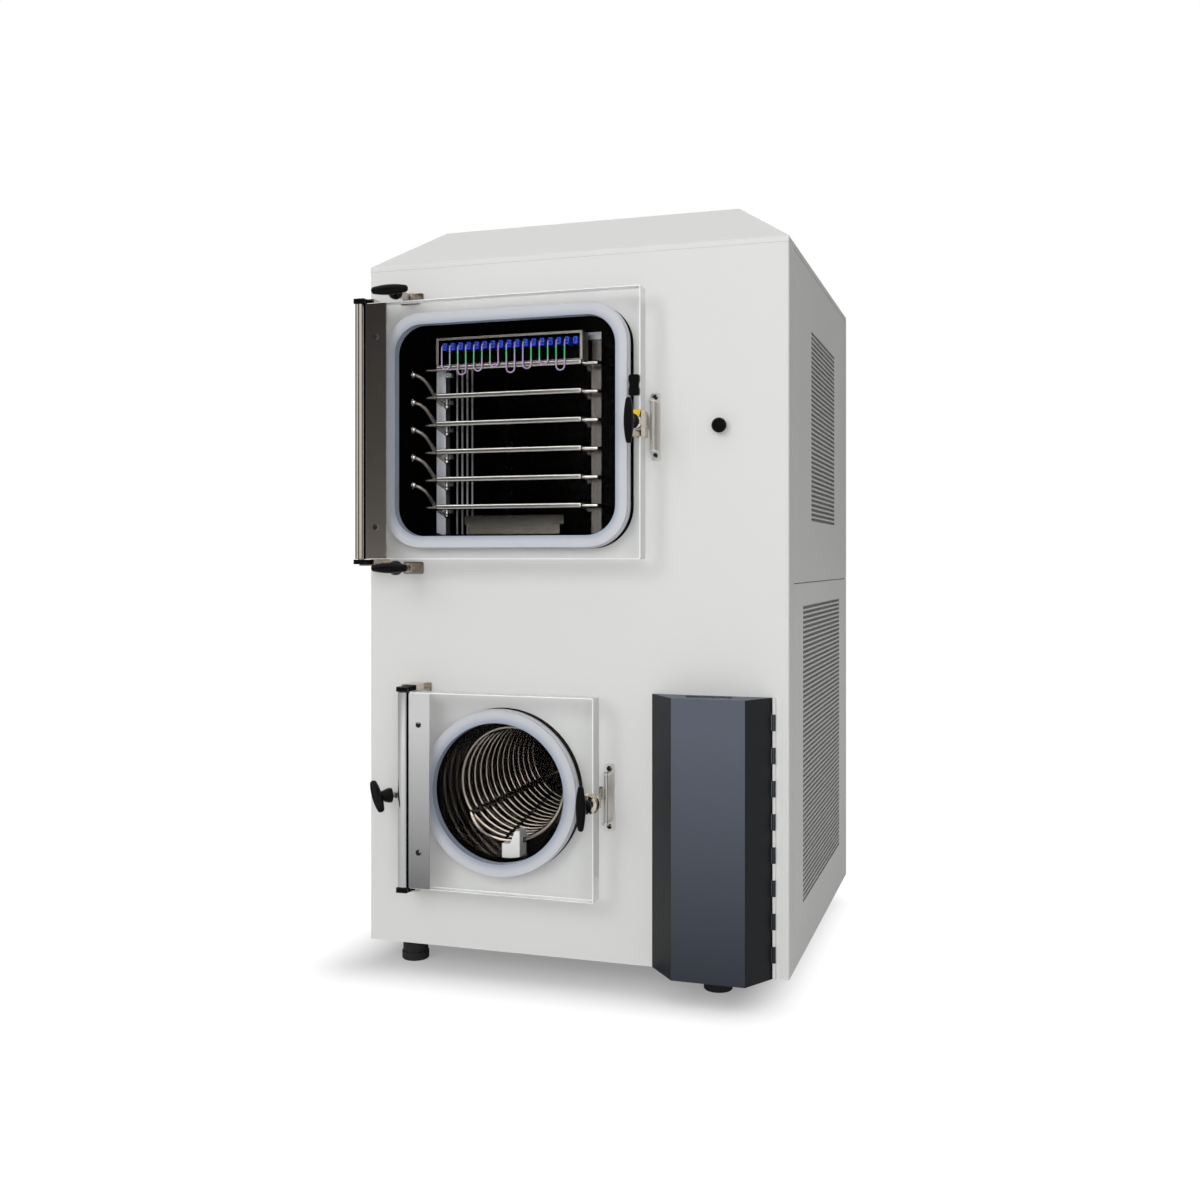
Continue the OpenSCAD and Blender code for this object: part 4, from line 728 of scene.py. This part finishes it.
acrylic_edge.node_tree.nodes["Principled BSDF"].inputs["Transmission Weight"].default_value = 0.35
acrylic_corner = moulded("acrylic corner whitened as painted highlight", "#FFFFFF", 0.4, 6.0, 0.02)


def plate_face(face):
    """Which acrylic a face of a door plate takes: clear on its faces; its edges and its corners take white
    painted highlights.
    """
    square_on = abs(face.normal.y)
    if square_on > 0.95:
        return 0
    return 1 if square_on < 0.2 else 2


for node in ("product_door", "condenser_door"):
    eased(node, [acrylic, acrylic_edge, acrylic_corner], 1.6, other=plate_face)


def turned(bm, middle, axis, profile, material_index=0, sides=40):
    """A turned shape: its profile gives distances from the axis and along it, in millimetres."""
    before = set(bm.verts)
    line = [bm.verts.new((radius * MM, 0, along * MM)) for radius, along in profile]
    edges = [bm.edges.new(pair) for pair in zip(line, line[1:])]
    bmesh.ops.spin(bm, geom=line + edges, cent=(0, 0, 0), axis=(0, 0, 1), angle=math.tau, steps=sides,
                   use_merge=False)
    bmesh.ops.remove_doubles(bm, verts=[v for v in bm.verts if v not in before], dist=0.005 * MM)
    made = [v for v in bm.verts if v not in before]
    faces = {face for v in made for face in v.link_faces}
    for face in faces:
        face.material_index = material_index
    bmesh.ops.recalc_face_normals(bm, faces=list(faces))
    place = Matrix.Translation(middle) @ Vector(axis).to_track_quat("Z", "Y").to_matrix().to_4x4()
    bmesh.ops.transform(bm, matrix=place, verts=made)


def hinge_leaf(node, material, barrel_material):
    """A flat leaf set back from its barrel, which leaves an upright valley between them; the web at the
    valley's floor takes dark steel as painted shade.
    """
    low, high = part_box(node)
    height = (high.z - low.z) / MM
    axis = low + Vector((BARREL, BARREL, 0)) * MM
    bm = bmesh.new()
    turned(bm, (axis.x, axis.y, low.z), (0, 0, 1),
           [(0, 0), (BARREL - 0.6, 0), (BARREL, 0.6), (BARREL, height - 0.6), (BARREL - 0.6, height),
            (0, height)], 1, 56)
    door_face = axis.y - PIN_TO_DOOR * MM
    web = block(bm, (axis.x + VALLEY[0] * MM, door_face + 2 * MM, low.z),
                (axis.x + VALLEY[1] * MM, door_face + 4 * MM, high.z))
    for face in {face for v in web for face in v.link_faces}:
        face.material_index = 2
    flat = block(bm, (axis.x + (VALLEY[1] + 1) * MM, door_face - LEAF_THICKNESS * MM, low.z + MM),
                 (high.x, door_face, high.z - MM))
    edges = {edge for v in flat for edge in v.link_edges}
    bmesh.ops.bevel(bm, geom=list(edges), offset=0.5 * MM, offset_type="OFFSET", affect="EDGES", segments=2,
                    profile=0.5, material=-1)
    piece(node + "_finish", bm, [material, barrel_material, chamber_steel], body_of(node), (node,))


PIN_TO_DOOR = 9
VALLEY = (6, 14.5)
LEAF_THICKNESS = 2
BARREL = 11.4
# both leaves carry painted light: the product leaf is lighter low down, the condenser leaf white high up and
# greyer low down
leaf_steel = steel("brushed leaf steel", "#8A837C", 0.2, fade=("#C4BBB1", 0.8, 1.3))
pale_leaf_steel = steel("leaf steel with painted light above", "#FFFFFF", 0.5, fade=("#8C8C8E", 0.16, 0.50))
barrel_steel = steel("rolled barrel steel", "#D0C8BB", 0.12, 0.8, 0.003, "Z")
pale_barrel_steel = steel("pale rolled barrel steel", "#DDDEDE", 0.12, 0.8, 0.003, "Z")
hinge_leaf("product_door_leaf", leaf_steel, barrel_steel)
hinge_leaf("condenser_door_leaf", pale_leaf_steel, pale_barrel_steel)
socket_black = moulded("shaded screw socket", "#060606", 0.6, 1.0, 0.01)


def islands(bm):
    """The separate shapes in a mesh, each as a set of its vertices."""
    left = set(bm.verts)
    while left:
        shape, fringe = set(), [left.pop()]
        while fringe:
            v = fringe.pop()
            shape.add(v)
            near = [edge.other_vert(v) for edge in v.link_edges]
            fringe += [other for other in near if other in left]
            left.difference_update(near)
        yield shape


def socket_screws(node, reach):
    """Screws whose sockets, within so many millimetres of their middles, lie in shade."""
    screws = eased(node, [bright_steel, socket_black])
    bm = bmesh.new()
    bm.from_mesh(screws.data)
    for shape in islands(bm):
        middle = sum((v.co for v in shape), Vector()) / len(shape)
        for face in {face for v in shape for face in v.link_faces}:
            away = face.calc_center_median() - middle
            if math.hypot(away.x, away.z) < reach * MM:
                face.material_index = 1
    bm.to_mesh(screws.data)
    bm.free()


for node in ("product_door_screws", "condenser_door_screws"):
    socket_screws(node, 2.1)
eased("hinge_pins", bright_steel)

# ---------- latches ----------
# Black nylon T handles, each with a small flared skirt, on stainless spindles with a nut
# and a washer. The upper one works in a yellow keeper, the lower one in a steel cup washer.
black_nylon = moulded("black glass-filled nylon", "#050506", 0.3, 0.7, 0.02, 1.22)
yellow_keeper = moulded("yellow coated steel", "#EDC60A", 0.35, 1.0, 0.02)
washer_steel = steel("warm washer steel", "#E4DCD0", 0.14)


def t_bar(bm, middle, axis, length, radius):
    """The bar of a T handle, in millimetres: a barrel shape with rounded ends, along an axis."""
    sweep = 2.2 * length
    nose = 0.6 * radius
    end = length / 2 - nose
    girth = [(radius - sweep + math.sqrt(sweep ** 2 - h ** 2), h)
             for h in (end * k / 6 for k in range(-6, 7))]
    rounded = [(girth[0][0] * math.sin(math.radians(a)), end + nose * math.cos(math.radians(a)))
               for a in range(0, 90, 15)]
    turned(bm, middle, axis, [(r, -h) for r, h in rounded] + girth + [(r, h) for r, h in reversed(rounded)])


def latch_handle(node, pivot, washer):
    """A T handle, upright at rest, with the nut and washer that hold its spindle to the door; washer
    is the washer's radius in millimetres. The turned shapes are its skirt, neck, nut and washer."""
    low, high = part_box(node)
    middle = Vector((pivot[0], low.y + BAR_RADIUS * MM, pivot[2]))
    bm = bmesh.new()
    t_bar(bm, middle, (0, 0, 1), (high.z - low.z) / MM, BAR_RADIUS)
    turned(bm, middle, (0, 1, 0), [(0, 0), (8.2, 0), (8.6, 9), (12, 14), (14, 17), (14, 20), (0, 20)])
    turned(bm, middle, (0, 1, 0), [(0, 19), (6.5, 19), (6.5, 24), (0, 24)], 1)
    turned(bm, middle, (0, 1, 0), [(0, 24), (9, 24), (9.6, 25), (9.6, 30), (9, 31), (0, 31)], 1, 6)
    turned(bm, middle, (0, 1, 0),
           [(0, 31), (6.5, 31), (7.5, 34), (washer, 36), (washer, 38), (washer - 3, 41), (10, 43), (10, 46.8),
            (0, 46.8)], 1)
    piece(node + "_finish", bm, [black_nylon, washer_steel], body_of(node), (node,))


BAR_RADIUS = 9
pivots = {joint["name"]: Vector(joint["pos_m"]) for joint in frame["joints"] if "pos_m" in joint}
latch_handle("product_latch_handle", pivots["product_latch_turn"], 12)
latch_handle("condenser_latch_handle", pivots["condenser_latch_turn"], 17)
for node in ("door_magnet", "hinge_blocks"):
    eased(node, black_nylon)
for node in ("product_latch_spindle", "condenser_latch_spindle"):
    eased(node, bright_steel)
eased("condenser_latch_washer", washer_steel, 0.4)
# the keeper is bare steel at the height of its spindle
eased("product_latch_keeper", [yellow_keeper, washer_steel], 0.8, 3,
      other=lambda face: abs(face.calc_center_median().z - pivots["product_latch_turn"].z) < 8 * MM)

# ---------- clamps, brackets and strikes ----------
# Swing bolts with black T knobs in forked brackets, and strikes pressed from stainless.
# All are held to the panel by socket-head screws.
bracket_steel = steel("bracket steel", "#B5ADA3", 0.2)
strike_steel = steel("pale strike steel", "#F4F2EE", 0.38)
for node in ("clamp_brackets", "top_clamp_bolt", "bottom_clamp_bolt", "side_clamp_bolt"):
    eased(node, bracket_steel, 0.6)
eased("hinge_brackets", barrel_steel, 0.5)
eased("strikes", strike_steel, 0.5)
eased("pivot_pins", bright_steel)
socket_screws("panel_screws", 2.5)


def clamp_knob(node, joint, axis, bar):
    """A T knob on a swing bolt: its bar lies along bar, and its flared skirt points along axis."""
    bm = bmesh.new()
    middle = pivots[joint] - Vector(axis) * KNOB_REACH * MM
    t_bar(bm, middle, bar, KNOB_LENGTH, KNOB_RADIUS)
    turned(bm, middle, axis, [(0, 0), (8.6, 0), (9, 8), (12, 16), (14, 21), (14, 28), (0, 28)])
    piece(node + "_finish", bm, black_nylon, body_of(node), (node,))


KNOB_REACH = 24
KNOB_LENGTH = 76
KNOB_RADIUS = 10
SIDE_KNOB_ANGLE = 39.6
clamp_knob("top_clamp_knob", "top_knob_turn", (0, 1, 0), (1, 0, 0))
clamp_knob("bottom_clamp_knob", "bottom_knob_turn", (0, 1, 0), (1, 0, 0))
side_axis = Vector(next(joint["axis"] for joint in frame["joints"] if joint["name"] == "side_knob_turn"))
level_bar = side_axis.cross((0, 0, 1)).normalized()
side_bar = Matrix.Rotation(math.radians(SIDE_KNOB_ANGLE), 3, side_axis) @ level_bar
clamp_knob("side_clamp_knob", "side_knob_turn", side_axis, side_bar)

# ---------- push button ----------
# A black mushroom head on a short stem.
eased("push_button", black_nylon)

# ---------- pump cover ----------
# Folded steel box with a coarse dark blue-grey texture paint, on a piano hinge. Its front is painted
# lighter upward as painted light, and its two slopes much darker as painted shade.


def textured_paint(name, foot, head, height):
    """Coarse texture paint that goes from one colour at the foot to another at a height in metres, as painted
    light.
    """
    material, tree = blank(name)
    place = add(tree, "ShaderNodeTexCoord")
    grit = add(tree, "ShaderNodeTexNoise", {"Vector": place.outputs["Object"], "Scale": 900.0, "Detail": 2.0})
    level = add(tree, "ShaderNodeSeparateXYZ", {"Vector": place.outputs["Object"]})
    rise = add(tree, "ShaderNodeMapRange",
               {"Value": level.outputs["Z"], "From Min": COVER_FOOT, "From Max": height})
    shade = add(tree, "ShaderNodeMix", {0: rise.outputs["Result"], 6: linear(foot), 7: linear(head)},
                data_type="RGBA")
    speck = add(tree, "ShaderNodeMapRange", {"Value": grit.outputs["Fac"], "From Min": 0.3, "From Max": 0.7,
                                             "To Min": 0.8, "To Max": 1.2})
    colour = add(tree, "ShaderNodeVectorMath", {0: shade.outputs[2], 1: speck.outputs["Result"]},
                 operation="MULTIPLY")
    skin = add(tree, "ShaderNodeBump", {"Height": grit.outputs["Fac"], "Strength": 0.5, "Distance": 0.3 * MM})
    paint = add(tree, "ShaderNodeBsdfPrincipled",
                {"Base Color": colour.outputs[0], "Roughness": 0.5, "IOR": 1.35,
                 "Normal": skin.outputs["Normal"]})
    add(tree, "ShaderNodeOutputMaterial", {"Surface": paint.outputs[0]})
    return material


COVER_FOOT = 0.05
cover_paint = textured_paint("textured slate paint", "#2F333C", "#575D69", 0.50)
slope_paint = textured_paint("textured slate paint in painted shade", "#0E1013", "#131518", 0.56)
# the slopes take the darker paint as painted shade
eased("pump_cover", [cover_paint, slope_paint], 1.0, 2, 25,
      other=lambda face: abs(face.normal.x) > 0.2 and face.normal.y < -0.2)
dress(cabinet_paint, "cover_hinge")

# ---------- pump and refrigeration ----------
# Inside the cabinet: a lined bay with its rotary vane pump, two compressors, and a finned
# air condenser with its fan.
bay_paint = powder_coat("pale bay paint", "#C9CACB", 1.6, 0.1, 0.5)
pump_paint = powder_coat("blue-grey pump enamel", "#46566B", 1.2, 0.08, 0.35)
compressor_paint = powder_coat("black compressor enamel", "#141415", 1.2, 0.08, 0.3)
fin_metal = steel("plain fin aluminium", "#B4B7BA", 0.4)
dress(bay_paint, "pump_bay")
dress(pump_paint, "vacuum_pump")
eased("compressors", compressor_paint)
dress(fin_metal, "air_condenser")
dress(black_nylon, "fan_rotor")
dress(bright_steel, "rear_fittings")
